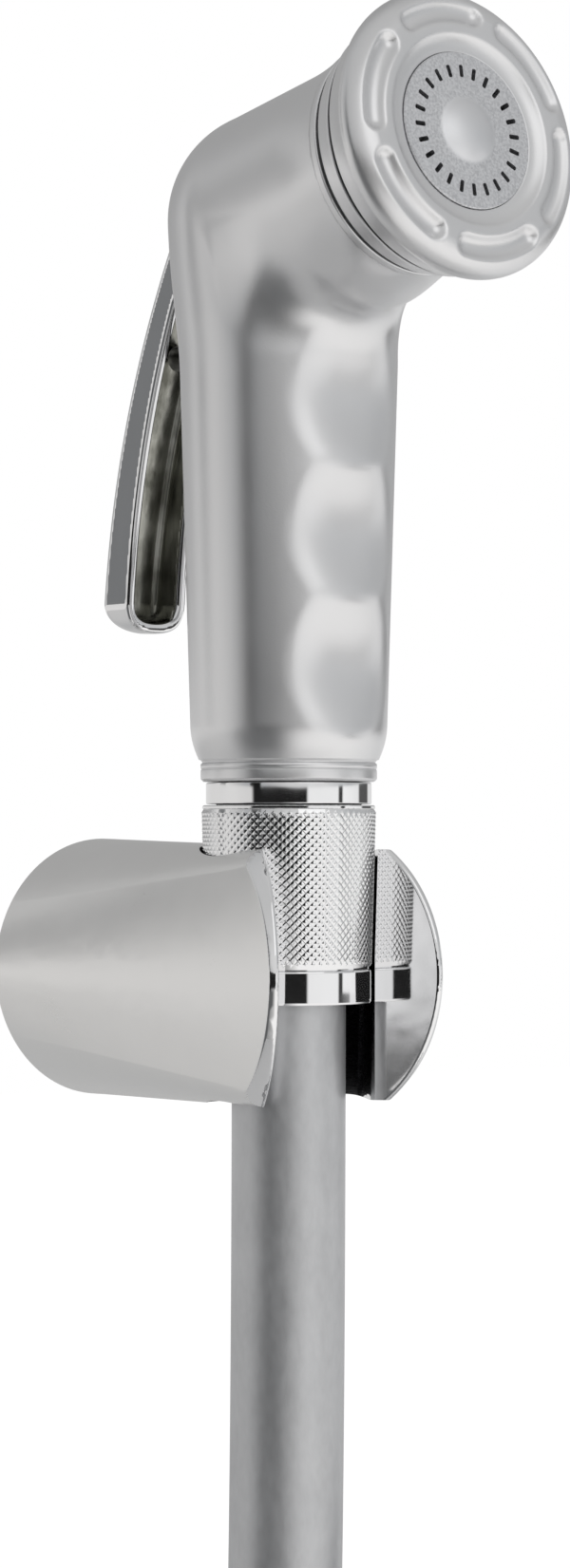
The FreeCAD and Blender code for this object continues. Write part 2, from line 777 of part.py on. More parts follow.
def stadium(reach, radius, width):
    """Flat loop section: two round ends a pitch apart, standing along Z."""
    half = reach / 2
    corners = [V(-radius, -half, 0), V(0, -half - radius, 0), V(radius, -half, 0),
               V(radius, half, 0), V(0, half + radius, 0), V(-radius, half, 0)]
    edges = [
        Part.Arc(corners[0], corners[1], corners[2]).toShape(),
        Part.LineSegment(corners[2], corners[3]).toShape(),
        Part.Arc(corners[3], corners[4], corners[5]).toShape(),
        Part.LineSegment(corners[5], corners[0]).toShape(),
    ]
    return Part.Face(Part.Wire(edges)).extrude(V(0, 0, width))


def make_tie():
    """Strap round both turns at the coil's far side."""
    inner = s.hose_radius.value + s.tie_gap.value
    outer = inner + s.tie_thickness.value
    width = s.tie_width.value
    pitch = s.coil_pitch.value
    strap = stadium(pitch, outer, width).cut(stadium(pitch, inner, width))
    first = coil_point(180)
    node("coil_tie", feature("coil_tie", strap, first.x, first.y - pitch / 2, first.z - width / 2))


# Handset


def dent(number):
    """Finger dent: a level cylinder that bites into the handle's front."""
    height = s.dent_first + s.dent_pitch * number
    rise = s.handle_top_radius - s.handle_foot_radius
    front = s.handle_foot_radius + rise * (height - s.shoulder_height) / (s.neck_height - s.shoulder_height)
    tool = add("Part::Cylinder", "dent", Radius=s.dent_curve, Height=40)
    tool.Placement = FreeCAD.Placement(V(0, 0, 0), FreeCAD.Rotation(V(0, 1, 0), 90))
    bind(tool, "Placement.Base.x", -20)
    bind(tool, "Placement.Base.y", s.dent_depth - front - s.dent_curve)
    bind(tool, "Placement.Base.z", height)
    return tool


def neck_bend():
    """Bend that rounds the corner between the handle's front and the head's underside."""
    reach = s.ball_radius + s.neck_corner
    bend = add("Part::Torus", "neck_bend", Radius1=reach, Radius2=s.ball_radius - 0.1, Angle3=head_turn)
    bend.Placement = FreeCAD.Placement(V(0, 0, 0), FreeCAD.Rotation(V(1, 1, 1), 120))
    drop = (reach - sine(s.head_rise) * (reach + s.ball_back)) / cosine(s.head_rise)
    bind(bend, "Placement.Base.y", -reach)
    bind(bend, "Placement.Base.z", s.head_height - drop)
    return bend


def handset_form():
    """Outside of the handset: tapered handle, neck, and head with its ball shoulder and flare."""
    edge = 0.4
    handle = turned("handle_form", (
        (0, 0),
        (s.lip_radius - edge, 0),
        (s.lip_radius, edge),
        (s.lip_radius, s.lip_height - edge),
        (s.lip_radius - edge, s.lip_height),
        (s.lip_radius + 0.2, s.lip_height + edge),
        (s.handle_foot_radius, s.shoulder_height),
        (s.handle_top_radius, s.neck_height),
        (0, s.neck_height),
    ))
    low = place(add("Part::Circle", "neck_low", Radius=s.handle_top_radius), 0, 0, s.neck_height)
    high = add("Part::Circle", "neck_high", Radius=s.ball_radius - 0.05)
    place(high, 0, s.ball_back, s.head_height)
    neck = doc.addObject("Part::Loft", "neck_form")
    neck.Sections = [low, high]
    neck.Solid = True
    neck.Ruled = True
    head = turned("head_form", (
        (0, -s.ball_radius, s.ball_radius),
        (s.ball_radius, 0),
        (s.ball_radius, s.flare_start, -45),
        (s.seam_back_radius, s.seam_back),
        (s.spigot_radius, s.seam_back),
        (s.spigot_radius, s.spigot_end - 0.4),
        (s.spigot_radius - 0.4, s.spigot_end),
        (0, s.spigot_end),
    ))
    place(head, 0, s.ball_back, s.head_height, head_turn)
    return fuse("handset_form", handle, neck, head, neck_bend())


def make_handset_body():
    """Cast body: outside form, finger dents, waterways, valve bore and lever slot."""
    form = handset_form()
    tools = [dent(number) for number in range(3)]
    tools.append(rod("socket", s.socket_radius, -1, s.socket_depth))
    tools.append(rod("waterway", s.waterway_radius, s.socket_depth - 1, s.waterway_top))
    tools.append(rod("feed", s.passage_radius, s.waterway_top - 1, s.valve_height,
                     y=-s.chamber_depth + s.passage_radius + 1.5))
    chamber = add("Part::Cylinder", "chamber", Radius=s.chamber_radius, Height=s.chamber_depth)
    tools.append(place(chamber, 0, -s.chamber_depth, s.valve_height, -90))
    bore = add("Part::Cylinder", "valve_bore", Radius=s.seat_radius, Height=s.seat_front + s.gland_seat)
    tools.append(place(bore, 0, -s.seat_front, s.valve_height, -90))
    face = add("Part::Cylinder", "gland_face", Radius=s.gland_head + 0.3, Height=10)
    tools.append(place(face, 0, s.gland_seat, s.valve_height, -90))
    tools.append(rod("outlet", s.passage_radius, s.valve_height, s.head_height,
                     y=s.seat_thickness - s.seat_front + s.passage_radius - 0.4))
    room = rod("outlet_room", s.waterway_radius, 0, s.disc_seat)
    tools.append(place(room, 0, s.ball_back, s.head_height, head_turn))
    head_low = s.flare_start - 4
    head = add("Part::Cylinder", "head_room", Radius=s.head_bore, Height=s.spigot_end - head_low)
    tools.append(place(head, 0, s.ball_back - cosine(s.head_rise) * head_low,
                       s.head_height + sine(s.head_rise) * head_low, head_turn))
    step = add("Part::Cylinder", "disc_step", Radius=s.disc_radius + 0.05,
               Height=s.spigot_end + 1 - s.disc_seat)
    tools.append(place(step, 0, s.ball_back - cosine(s.head_rise) * s.disc_seat,
                       s.head_height + sine(s.head_rise) * s.disc_seat, head_turn))
    half = s.lever_half_width + s.slot_gap
    tools.append(block("lever_slot", (-half, s.pivot_back - s.hub_radius - s.slot_gap,
                                      s.pivot_height - s.hub_radius - 1.2),
                       (half, s.pivot_back + 12, s.lever_top_height + 0.8)))
    pin = add("Part::Cylinder", "pin_hole", Radius=s.pin_radius + 0.03, Height=s.pin_reach + 20)
    pin.Placement = FreeCAD.Placement(V(0, 0, 0), FreeCAD.Rotation(V(0, 1, 0), 90))
    bind(pin, "Placement.Base.x", -s.pin_reach)
    bind(pin, "Placement.Base.y", s.pivot_back)
    bind(pin, "Placement.Base.z", s.pivot_height)
    tools.append(pin)
    body = cut("handset_body", form, *tools)
    return node("handset_body", place(body, 0, axis_y, body_z))


def make_trim_ring():
    """Flared ring between the barrel and the face cap."""
    low = s.seam_back + s.seam_gap
    high = s.seam_front - s.seam_gap
    slope = (s.seam_front_radius - s.seam_back_radius) / (s.seam_front - s.seam_back)
    edge = 0.25
    body = turned("head_trim_ring", (
        (s.spigot_radius + 0.05, low),
        (s.seam_back_radius + slope * s.seam_gap - edge, low),
        (s.seam_back_radius + slope * s.seam_gap, low + edge),
        (s.seam_front_radius - slope * s.seam_gap, high - edge),
        (s.seam_front_radius - slope * s.seam_gap - edge, high),
        (s.spigot_radius + 0.05, high),
    ))
    return node("head_trim_ring", place(body, 0, ball_y, ball_z, head_turn))


flange_low = s.spigot_end + s.gasket_thickness + 0.05
flange_high = flange_low + s.flange_thickness


def grip_recess(number):
    """Oval recess on the cap's shoulder: a bent round-ended groove."""
    middle_angle = 90 + s.grip_start + number * 360 / s.grip_count
    start = middle_angle - s.grip_span / 2
    groove = add("Part::Torus", "grip_groove", Radius1=s.grip_ring, Radius2=s.grip_radius,
                 Angle3=s.grip_span)
    groove.Placement = FreeCAD.Placement(V(0, 0, 0), FreeCAD.Rotation(V(0, 0, 1), start.value))
    bind(groove, "Placement.Rotation.Angle", start)
    bind(groove, "Placement.Base.z", s.grip_height)
    items = [groove]
    for angle in (start, start + s.grip_span):
        end = add("Part::Sphere", "grip_end", Radius=s.grip_radius)
        items.append(place(end, s.grip_ring * cosine(angle), s.grip_ring * sine(angle), s.grip_height))
    return items


def make_face_cap():
    """Screwed cap: flared skirt, round rim, shoulder with six recesses, dished front."""
    bore = s.spigot_radius + s.cap_gap
    edge = 0.25
    front = s.face_height + 0.6
    blank = turned("cap_blank", (
        (bore, s.seam_front),
        (s.seam_front_radius - edge, s.seam_front),
        (s.seam_front_radius, s.seam_front + edge, -14),
        (s.rim_radius - 0.12, s.rim_height - 0.9, 1.7),
        (s.rim_radius - 0.5, s.rim_height + 0.9, 4.5),
        (s.rim_radius - 3.2, front, 40),
        (s.window_radius + 2.4, front - 0.05, -4),
        (s.window_radius, s.face_height - 0.25),
        (s.window_radius, flange_high + 0.05),
        (bore, flange_high + 0.05),
    ))
    grips = []
    for number in range(int(s.grip_count.value)):
        grips += grip_recess(number)
    cap = cut("face_cap", blank, *grips)
    return node("face_cap", place(cap, 0, ball_y, ball_z, head_turn))


def make_spray_plate():
    """Plate with a ring of slots and a dome, held by its flange under the cap."""
    edge = s.window_radius - s.plate_edge_gap
    dome_curve = (s.dome_radius * s.dome_radius / s.dome_height + s.dome_height) / 2
    body = turned("spray_plate", (
        (0, flange_low),
        (s.plate_flange, flange_low),
        (s.plate_flange, flange_high),
        (edge, flange_high),
        (edge, s.face_height - 0.2),
        (edge - 0.2, s.face_height),
        (s.dome_radius, s.face_height, dome_curve),
        (0, s.face_height + s.dome_height),
    ))
    half_length = s.slot_length / 2
    half_width = s.slot_width / 2
    sketch = outline(body, "XY_Plane", (
        (s.slot_ring - half_length, -half_width),
        (s.slot_ring + half_length, -half_width),
        (s.slot_ring + half_length, half_width),
        (s.slot_ring - half_length, half_width),
    ))
    slot = body.newObject("PartDesign::Pocket", "slot")
    slot.Profile = sketch
    slot.Midplane = True
    slot.Type = "ThroughAll"
    doc.recompute()
    ring = body.newObject("PartDesign::PolarPattern", "slot_ring")
    ring.Originals = [slot]
    ring.Axis = (plane_of(body, "Z_Axis"), [""])
    ring.Angle = 360
    bind(ring, "Occurrences", s.slot_count)
    body.Tip = ring
    return node("spray_plate", place(body, 0, ball_y, ball_z, head_turn))


def make_head_inside():
    """Gasket under the plate and flow disc in the barrel."""
    gasket = sleeve("cap_gasket", s.plate_flange, s.disc_radius + 0.2, s.spigot_end + 0.03,
                    flange_low - 0.01)
    node("cap_gasket", place(gasket, 0, ball_y, ball_z, head_turn))
    blank = sleeve("flow_blank", s.disc_radius, 1.5, s.disc_seat, s.disc_seat + s.disc_thickness)
    holes = []
    count = 12
    for number in range(count):
        angle = Size.of(number * 360 / count)
        ring = s.slot_ring * 0.92
        hole = add("Part::Cylinder", "flow_hole", Radius=0.9, Height=s.disc_thickness + 2)
        holes.append(place(hole, ring * cosine(angle), ring * sine(angle), s.disc_seat - 1))
    disc = cut("flow_disc", blank, *holes)
    node("flow_disc", place(disc, 0, ball_y, ball_z, head_turn))


def make_valve():
    """Seat, stem with its disc, spring, gland and stem seal, all on the level valve axis."""
    seat_back = s.seat_thickness - s.seat_front
    seat = turned("valve_seat", (
        (s.seat_hole, -s.seat_front),
        (s.seat_radius - 0.05, -s.seat_front),
        (s.seat_radius - 0.05, seat_back),
        (s.seat_hole + 0.8, seat_back),
        (s.seat_hole, seat_back - 0.8),
    ))
    disc_back = -s.seat_front - 0.1
    disc_front = disc_back - 2
    disc = sleeve("valve_disc", s.disc_valve_radius, s.stem_radius, disc_front, disc_back)
    tip = s.stem_tip
    tip_height = s.stem_radius * 0.4
    tip_curve = (s.stem_radius * s.stem_radius / tip_height + tip_height) / 2
    stem = turned("valve_stem", (
        (0, disc_front - 0.8),
        (s.disc_valve_radius - 0.6, disc_front - 0.8),
        (s.disc_valve_radius - 0.6, disc_front),
        (s.stem_radius, disc_front),
        (s.stem_radius, tip - tip_height, tip_curve),
        (0, tip),
    ))
    gland = turned("valve_gland", (
        (s.stem_radius + s.stem_gap, s.gland_front + 2.2),
        (s.stem_radius + 2 * s.ring_wire + 0.15, s.gland_front + 2.2),
        (s.stem_radius + 2 * s.ring_wire + 0.15, s.gland_front),
        (s.seat_radius - 0.05, s.gland_front),
        (s.seat_radius - 0.05, s.gland_seat + 0.05),
        (s.gland_head, s.gland_seat + 0.05),
        (s.gland_head, s.gland_seat + s.gland_head_thickness - 0.6),
        (s.gland_head - 0.6, s.gland_seat + s.gland_head_thickness),
        (s.stem_radius + s.stem_gap, s.gland_seat + s.gland_head_thickness),
    ))
    for name, body in (("valve_seat", seat), ("valve_disc", disc), ("valve_stem", stem),
                       ("valve_gland", gland)):
        node(name, place(body, 0, axis_y, valve_z, -90))
    ring = add("Part::Torus", "gland_o_ring", Radius1=s.stem_radius + s.ring_wire + 0.05,
               Radius2=s.ring_wire)
    node("gland_o_ring", place(ring, 0, axis_y + s.gland_front + 1.2, valve_z, -90))
    front = -s.chamber_depth + s.spring_wire + 0.05
    back = disc_front - 0.8 - s.spring_wire - 0.05
    helix = add("Part::Helix", "spring_line", Radius=s.spring_radius, Height=back - front,
                Pitch=(back - front) / s.spring_turns)
    wire = add("Part::Circle", "spring_wire", Radius=s.spring_wire)
    wire.Placement = FreeCAD.Placement(V(0, 0, 0), FreeCAD.Rotation(X_AXIS, 90))
    bind(wire, "Placement.Base.x", s.spring_radius)
    spring = doc.addObject("Part::Sweep", "valve_spring")
    spring.Sections = [wire]
    spring.Spine = (helix, ["Edge1"])
    spring.Solid = True
    spring.Frenet = True
    node("valve_spring", place(spring, 0, axis_y + front, valve_z, -90))


def lever_side(name, inset, width):
    """Side form of the lever, or of the channel inside it when inset."""
    back = s.lever_tip_back - inset
    foot = s.lever_tip_height + inset
    tip_curve = s.lever_tip_curve - inset
    outer = (
        (back, foot + tip_curve, s.lever_curve - inset),
        (s.lever_top_back - inset, s.lever_top_height - inset * 0.4),
    )
    if inset.value > 0:
        corners = outer + (
            (s.pivot_back + 2.6, s.lever_top_height + 4),
            (s.pivot_back - 8, s.lever_top_height + 4),
            (s.pivot_back - 8, foot),
            (back - tip_curve, foot, tip_curve),
        )
        return padded(name, "YZ_Plane", corners, width)
    hub = s.hub_radius
    corners = outer + (
        (s.pivot_back, s.pivot_height + hub, hub),
        (s.pivot_back, s.pivot_height - hub),
        (s.rim_top_back, s.rim_top_height, -s.lever_curve),
        (s.rim_low_back, s.rim_low_height),
        (s.rim_low_back + 0.5, foot),
        (back - tip_curve, foot, tip_curve),
    )
    return padded(name, "YZ_Plane", corners, width)


def lever_face(name, inset):
    """Face outline of the lever: straight sides and a round tip."""
    half = s.lever_half_width - inset
    centre = s.lever_tip_height + s.lever_half_width - 0.7
    top = s.lever_top_height + 8
    return padded(name, "XZ_Plane", (
        (half, centre),
        (half, top),
        (-half, top),
        (-half, centre, half),
        (0, centre - half, half),
    ), 120)


def make_lever():
    """Squeeze lever: a curved channel, open towards the handle, with two ears on the pin."""
    none = Size.of(0)
    width = 2 * s.lever_half_width
    outer = common("lever_outer", lever_side("lever_side_out", none, width),
                   lever_face("lever_face_out", none))
    half = s.lever_half_width.value

    def back_edge(edge):
        point = middle(edge)
        on_side = abs(abs(point.x) - half) < 0.01 and edge.Length > 20
        on_tip = edge.Length > 8 and point.z < s.lever_tip_height.value + 6
        line = s.rim_top_back.value + (s.rim_top_height.value - point.z) * 0.28 + 3
        return (on_side or on_tip) and point.y > line

    soft = round_edges("lever_soft", outer, Size.of(1.2), back_edge)
    wall = s.lever_wall
    channel = common("lever_channel", lever_side("lever_side_in", wall, width - 2 * wall),
                     lever_face("lever_face_in", wall))
    hole = add("Part::Cylinder", "lever_hole", Radius=s.pin_radius + 0.06, Height=30)
    hole.Placement = FreeCAD.Placement(V(0, 0, 0), FreeCAD.Rotation(V(0, 1, 0), 90))
    bind(hole, "Placement.Base.x", -15)
    bind(hole, "Placement.Base.y", s.pivot_back)
    bind(hole, "Placement.Base.z", s.pivot_height)
    lever = cut("lever", soft, channel, hole)
    node("lever", place(lever, 0, axis_y, body_z))
    pin = add("Part::Cylinder", "lever_pin", Radius=s.pin_radius, Height=2 * s.pin_reach)
    pin.Placement = FreeCAD.Placement(V(0, 0, 0), FreeCAD.Rotation(V(0, 1, 0), 90))
    bind(pin, "Placement.Base.x", -s.pin_reach + 0.05)
    bind(pin, "Placement.Base.y", axis_y + s.pivot_back)
    bind(pin, "Placement.Base.z", body_z + s.pivot_height)
    node("lever_pin", pin)


hose_x = Size(HOSE_LEAN[-1][0], "(" + repr(HOSE_LEAN[-1][0]) + ")")

make_bracket()
make_wall_plate()
make_grub_screw()
make_hose_nut()
make_inlet()
hose_end("hose", axis_y, flange_z)
make_hose()
end_y = axis_y - s.coil_pitch * s.coil_turns - s.coil_lean
end_z = -s.coil_height - s.coil_tail - s.flange_height - 0.05
hose_end("end", end_y, end_z, 180, hose_x)
make_end_nut(end_y, end_z)
make_handset_body()
make_trim_ring()
make_face_cap()
make_spray_plate()
make_head_inside()
make_valve()
make_lever()


def check_and_write():
    """Stop on a failed object or piece; otherwise write one file for each piece."""
    doc.recompute()
    for item in doc.Objects:
        if "Invalid" in item.State or "Error" in item.State:
            raise RuntimeError(item.Name + " failed: " + ", ".join(item.State))
    for name, item in NODES:
        if item.Shape.isNull() or not item.Shape.isValid():
            raise RuntimeError(name + " has no valid shape")
    os.makedirs("parts", exist_ok=True)
    for name, item in NODES:
        item.Shape.exportStep("parts/" + name + ".step")
        print("%-20s solids %d  volume %.1f" % (name, len(item.Shape.Solids), item.Shape.Volume))


check_and_write()
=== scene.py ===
"""Looks of the handheld bath sprayer: its meshes, finishes, light and camera.

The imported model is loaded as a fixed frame. Every visible piece is then either dressed in its finish or replaced
by a finer one of the same size and place. Lengths in this file are millimetres unless a name ends in _m.
"""

from __future__ import annotations

import json
import logging
import math
from contextlib import contextmanager
from dataclasses import dataclass, field
from enum import Enum
from typing import Any, Callable, Dict, Iterator, List, Optional, Sequence, Tuple

import bpy
import numpy as np
from mathutils import Matrix, Vector

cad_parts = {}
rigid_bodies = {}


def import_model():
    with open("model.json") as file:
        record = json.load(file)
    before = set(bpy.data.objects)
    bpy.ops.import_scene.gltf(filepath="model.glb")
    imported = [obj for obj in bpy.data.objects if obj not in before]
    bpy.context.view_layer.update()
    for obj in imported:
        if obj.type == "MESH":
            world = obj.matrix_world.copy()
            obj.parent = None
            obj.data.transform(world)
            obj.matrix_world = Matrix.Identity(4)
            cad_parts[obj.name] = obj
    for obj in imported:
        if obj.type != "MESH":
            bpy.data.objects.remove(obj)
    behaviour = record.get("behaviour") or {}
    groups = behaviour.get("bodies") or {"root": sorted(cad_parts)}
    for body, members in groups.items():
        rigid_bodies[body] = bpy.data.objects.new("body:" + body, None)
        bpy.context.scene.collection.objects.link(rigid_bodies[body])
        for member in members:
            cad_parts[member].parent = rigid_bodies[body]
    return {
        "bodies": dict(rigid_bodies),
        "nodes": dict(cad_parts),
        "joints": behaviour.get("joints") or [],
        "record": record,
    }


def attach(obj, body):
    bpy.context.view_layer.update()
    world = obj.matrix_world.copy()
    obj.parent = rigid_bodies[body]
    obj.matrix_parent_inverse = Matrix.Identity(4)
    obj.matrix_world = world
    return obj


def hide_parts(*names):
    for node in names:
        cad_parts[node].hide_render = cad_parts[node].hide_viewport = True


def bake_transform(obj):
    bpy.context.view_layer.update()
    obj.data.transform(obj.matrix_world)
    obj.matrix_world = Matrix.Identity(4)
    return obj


LOG = logging.getLogger("bath_sprayer")

MM = 0.001
AXIS_Y = -42.5
HANDLE_Z = 25.4
MERGE = 0.0008
CORNER_REACH = 0.004
RIM_REACH = 0.0001
SLOPE_STEP = 0.02
TINY = 1e-6
Point = Tuple[float, float, float]
Spot = Tuple[float, float]
Profile = Sequence[Spot]
Distance = Callable[[np.ndarray], np.ndarray]


class Slot(Enum):
    """Material slots of the record that pieces take their finish from."""

    SATIN_CHROME = "satin_chrome"
    BRIGHT_CHROME = "bright_chrome"
    BRASS = "brass"
    STEEL = "steel"
    ZINC = "zinc"
    RUBBER = "rubber"
    HOSE_SLEEVE = "hose_sleeve"
    WHITE_PLASTIC = "white_plastic"
    STRAP = "strap"


class Body(Enum):
    """Bodies of the frame that pieces ride on."""

    HOLDER = "holder"
    HANDSET = "handset"
    LEVER = "lever_arm"
    PLUNGER = "plunger"
    CAP = "cap"
    NUT = "nut"
    SUPPLY_NUT = "supply_nut"


# Shader maths


@dataclass(frozen=True)
class Grain:
    """One noise of a finish: size of its grains in millimetres, finer octaves, and its scale along each axis."""

    size: float
    detail: float = 2.0
    stretch: Point = (1.0, 1.0, 1.0)


def operator_method(operation: str, swapped: bool = False) -> Callable[["Field", Any], "Field"]:
    """Make an operator of Field from a Math node's operation.

    Args:
        operation: the node's operation.
        swapped: whether the field is the second value.

    Returns:
        The method.
    """

    def method(self: "Field", other: Any) -> "Field":
        """Join this field with a number or another field."""
        first, second = (other, self) if swapped else (self, other)
        return self.maker.node("ShaderNodeMath", {"operation": operation}, {0: first, 1: second})

    return method


class Field:
    """A value on a surface, so that a pattern can be written as an ordinary sum."""

    def __init__(self, maker: "MaterialMaker", socket: bpy.types.NodeSocket) -> None:
        """Wrap a node's output.

        Args:
            maker: the material that the node is in.
            socket: the output socket.
        """
        self.maker = maker
        self.socket = socket

    __add__ = operator_method("ADD")
    __radd__ = operator_method("ADD", swapped=True)
    __rsub__ = operator_method("SUBTRACT", swapped=True)
    __mul__ = operator_method("MULTIPLY")
    __rmul__ = operator_method("MULTIPLY", swapped=True)
    __truediv__ = operator_method("DIVIDE")
    __pow__ = operator_method("POWER")


class MaterialMaker:
    """Builds one material's nodes."""

    def __init__(self, name: str, world: Optional[bpy.types.World] = None) -> None:
        """Start a material, or a world's nodes.

        Args:
            name: the material's name.
            world: a world to build in place of a material.
        """
        self.block = world or bpy.data.materials.new(name)
        self.block.use_nodes = True
        self.tree = self.block.node_tree
        self.tree.nodes.clear()

    def node(
        self,
        kind: str,
        settings: Optional[Dict[str, Any]] = None,
        inputs: Optional[Dict[Any, Any]] = None,
        output: Any = 0,
    ) -> Field:
        """Add a node.

        Args:
            kind: the node's type.
            settings: its own settings; "stops" holds a colour ramp's (place, colour) pairs.
            inputs: values or fields for its sockets, by name or number.
            output: the output socket wanted, by name or number.

        Returns:
            That output as a field.
        """
        node = self.tree.nodes.new(kind)
        for key, value in (settings or {}).items():
            if key == "stops":
                self._set_stops(node.color_ramp, value)
            else:
                setattr(node, key, value)
        for key, value in (inputs or {}).items():
            if isinstance(value, Field):
                self.tree.links.new(value.socket, node.inputs[key])
            else:
                node.inputs[key].default_value = value
        return Field(self, node.outputs[output])

    @staticmethod
    def _set_stops(ramp: bpy.types.ColorRamp, stops: Sequence[Tuple[float, Point]]) -> None:
        """Give a colour ramp its stops.

        Args:
            ramp: the ramp.
            stops: (place, colour) pairs in order.
        """
        while len(ramp.elements) < len(stops):
            ramp.elements.new(1.0)
        for element, (place, colour) in zip(ramp.elements, stops):
            element.position = place
            element.color = (*colour, 1.0)

    def place(self) -> Field:
        """Object coordinates, in metres."""
        return self.node("ShaderNodeTexCoord", output="Object")

    def noise(self, grain: Grain) -> Field:
        """Soft noise from 0 to 1.

        Args:
            grain: its size, detail and stretch.

        Returns:
            The noise as a field.
        """
        mapped = self.node("ShaderNodeMapping", {}, {"Vector": self.place(), "Scale": grain.stretch})
        inputs = {"Vector": mapped, "Scale": 1.0 / (grain.size * MM), "Detail": grain.detail}
        return self.node("ShaderNodeTexNoise", {}, inputs, "Fac")

    def spread(self, value: Field, low: float, high: float) -> Field:
        """Spread a value from 0 at one level to 1 at another.

        Args:
            value: the value.
            low: the level that becomes 0.
            high: the level that becomes 1.

        Returns:
            The spread value as a field.
        """
        return self.node("ShaderNodeMapRange", {}, {0: value, 1: low, 2: high})

    def mix(self, first: Any, second: Any, factor: Field) -> Field:
        """Mix two colours.

        Args:
            first: colour or field at 0.
            second: colour or field at 1.
            factor: the mix.

        Returns:
            The colour as a field.
        """
        return self.node("ShaderNodeMix", {"data_type": "RGBA"}, {0: factor, 6: first, 7: second}, 2)

    def tint(self, dark: Point, light: Point, factor: Field) -> Field:
        """Colour that runs from dark at 0 to light at 1.

        Args:
            dark: colour at 0.
            light: colour at 1.
            factor: the mix.

        Returns:
            The colour as a field.
        """
        return self.mix((*dark, 1.0), (*light, 1.0), factor)

    def shade(self, colour: Point, share: float, factor: Field) -> Field:
        """Colour that falls to a share of itself where a factor is 0.

        Args:
            colour: the full colour.
            share: what is left of it at 0.
            factor: the factor.

        Returns:
            The colour as a field.
        """
        return self.tint(tuple(share * part for part in colour), colour, factor)

    def bump(self, height: Field, distance: float, strength: float = 1.0) -> Field:
        """Normal from a height.

        Args:
            height: height from 0 to 1.
            distance: what 1 stands for, in millimetres.
            strength: how much of it shows.

        Returns:
            The normal as a field.
        """
        return self.node("ShaderNodeBump", {}, {"Height": height, "Distance": distance * MM, "Strength": strength})

    def close(self, shader: Field) -> Any:
        """Send a shader to the output.

        Args:
            shader: the shader.

        Returns:
            The material or world.
        """
        kind = "ShaderNodeOutputWorld" if isinstance(self.block, bpy.types.World) else "ShaderNodeOutputMaterial"
        out = self.tree.nodes.new(kind)
        self.tree.links.new(shader.socket, out.inputs["Surface"])
        return self.block

    def finish(self, **sockets: Any) -> bpy.types.Material:
        """Close the material with a Principled shader.

        Args:
            sockets: its sockets, with an underscore for each space.

        Returns:
            The material.
        """
        inputs = {key.replace("_", " "): value for key, value in sockets.items()}
        return self.close(self.node("ShaderNodeBsdfPrincipled", {}, inputs))


# Finishes


@dataclass(frozen=True)
class SatinChrome:
    """Chrome over a fine blasted surface: soft reflections, a faint grain and slight clouding."""

    name: str = "satin_chrome"
    light: Point = (0.80, 0.80, 0.805)
    dark: Point = (0.76, 0.76, 0.765)
    roughness: float = 0.26
    clouds: Grain = Grain(9.0, 3.0)
    grains: Grain = Grain(0.22)
    dulling: Tuple[float, float] = (0.06, 0.05)
    relief: float = 0.006

    def make(self) -> bpy.types.Material:
        """Build the material.

        Returns:
            The material.
        """
        maker = MaterialMaker(self.name)
        cloud = maker.noise(self.clouds)
        grain = maker.noise(self.grains)
        colour = maker.tint(self.dark, self.light, cloud)
        rough = self.roughness + self.dulling[0] * cloud + self.dulling[1] * grain
        normal = maker.bump(grain, self.relief)
        return maker.finish(Base_Color=colour, Metallic=1.0, Roughness=rough, Normal=normal)


@dataclass(frozen=True)
class BrightChrome:
    """Polished chrome: near mirror, with faint waviness and wiping marks."""

    name: str = "bright_chrome"
    colour: Point = (0.88, 0.88, 0.885)
    wiped_share: float = 0.93
    roughness: float = 0.05
    wiping: Grain = Grain(3.0, 4.0, (1.0, 1.0, 0.35))
    waves: Grain = Grain(5.0, 1.0)
    dulling: float = 0.05
    relief: Tuple[float, float] = (0.02, 0.6)

    def make(self) -> bpy.types.Material:
        """Build the material.

        Returns:
            The material.
        """
        maker = MaterialMaker(self.name)
        wipe = maker.noise(self.wiping)
        colour = maker.shade(self.colour, self.wiped_share, wipe)
        rough = self.roughness + self.dulling * wipe ** 3.0
        normal = maker.bump(maker.noise(self.waves), *self.relief)
        return maker.finish(Base_Color=colour, Metallic=1.0, Roughness=rough, Normal=normal)


@dataclass(frozen=True)
class BlastedChrome:
    """Chrome over a coarse blasted face, smooth inside a small round dome."""

    name: str = "blasted_chrome"
    light: Point = (0.78, 0.785, 0.80)
    dark: Point = (0.60, 0.605, 0.62)
    roughness: float = 0.36
    specks: Grain = Grain(0.34, 3.0)
    contrast: Tuple[float, float] = (0.36, 0.64)
    dulling: float = 0.10
    relief: float = 0.05
    dome_place: Point = (0.0, -78.6, 105.9)
    dome_radius: float = 4.3
    dome_fade: float = 0.05

    def make(self) -> bpy.types.Material:
        """Build the material.

        Returns:
            The material.
        """
        maker = MaterialMaker(self.name)
        speck = maker.noise(self.specks)
        ends = {0: maker.place(), 1: tuple(part * MM for part in self.dome_place)}
        away = maker.node("ShaderNodeVectorMath", {"operation": "DISTANCE"}, ends, 1)
        low, high = ((1 + side * self.dome_fade) * self.dome_radius * MM for side in (-1, 1))
        outside = maker.spread(away, low, high)
        colour = maker.tint(self.light, self.dark, maker.spread(speck, *self.contrast) * outside)
        rough = self.roughness + self.dulling * speck
        normal = maker.bump(speck * outside, self.relief)
        return maker.finish(Base_Color=colour, Metallic=1.0, Roughness=rough, Normal=normal)


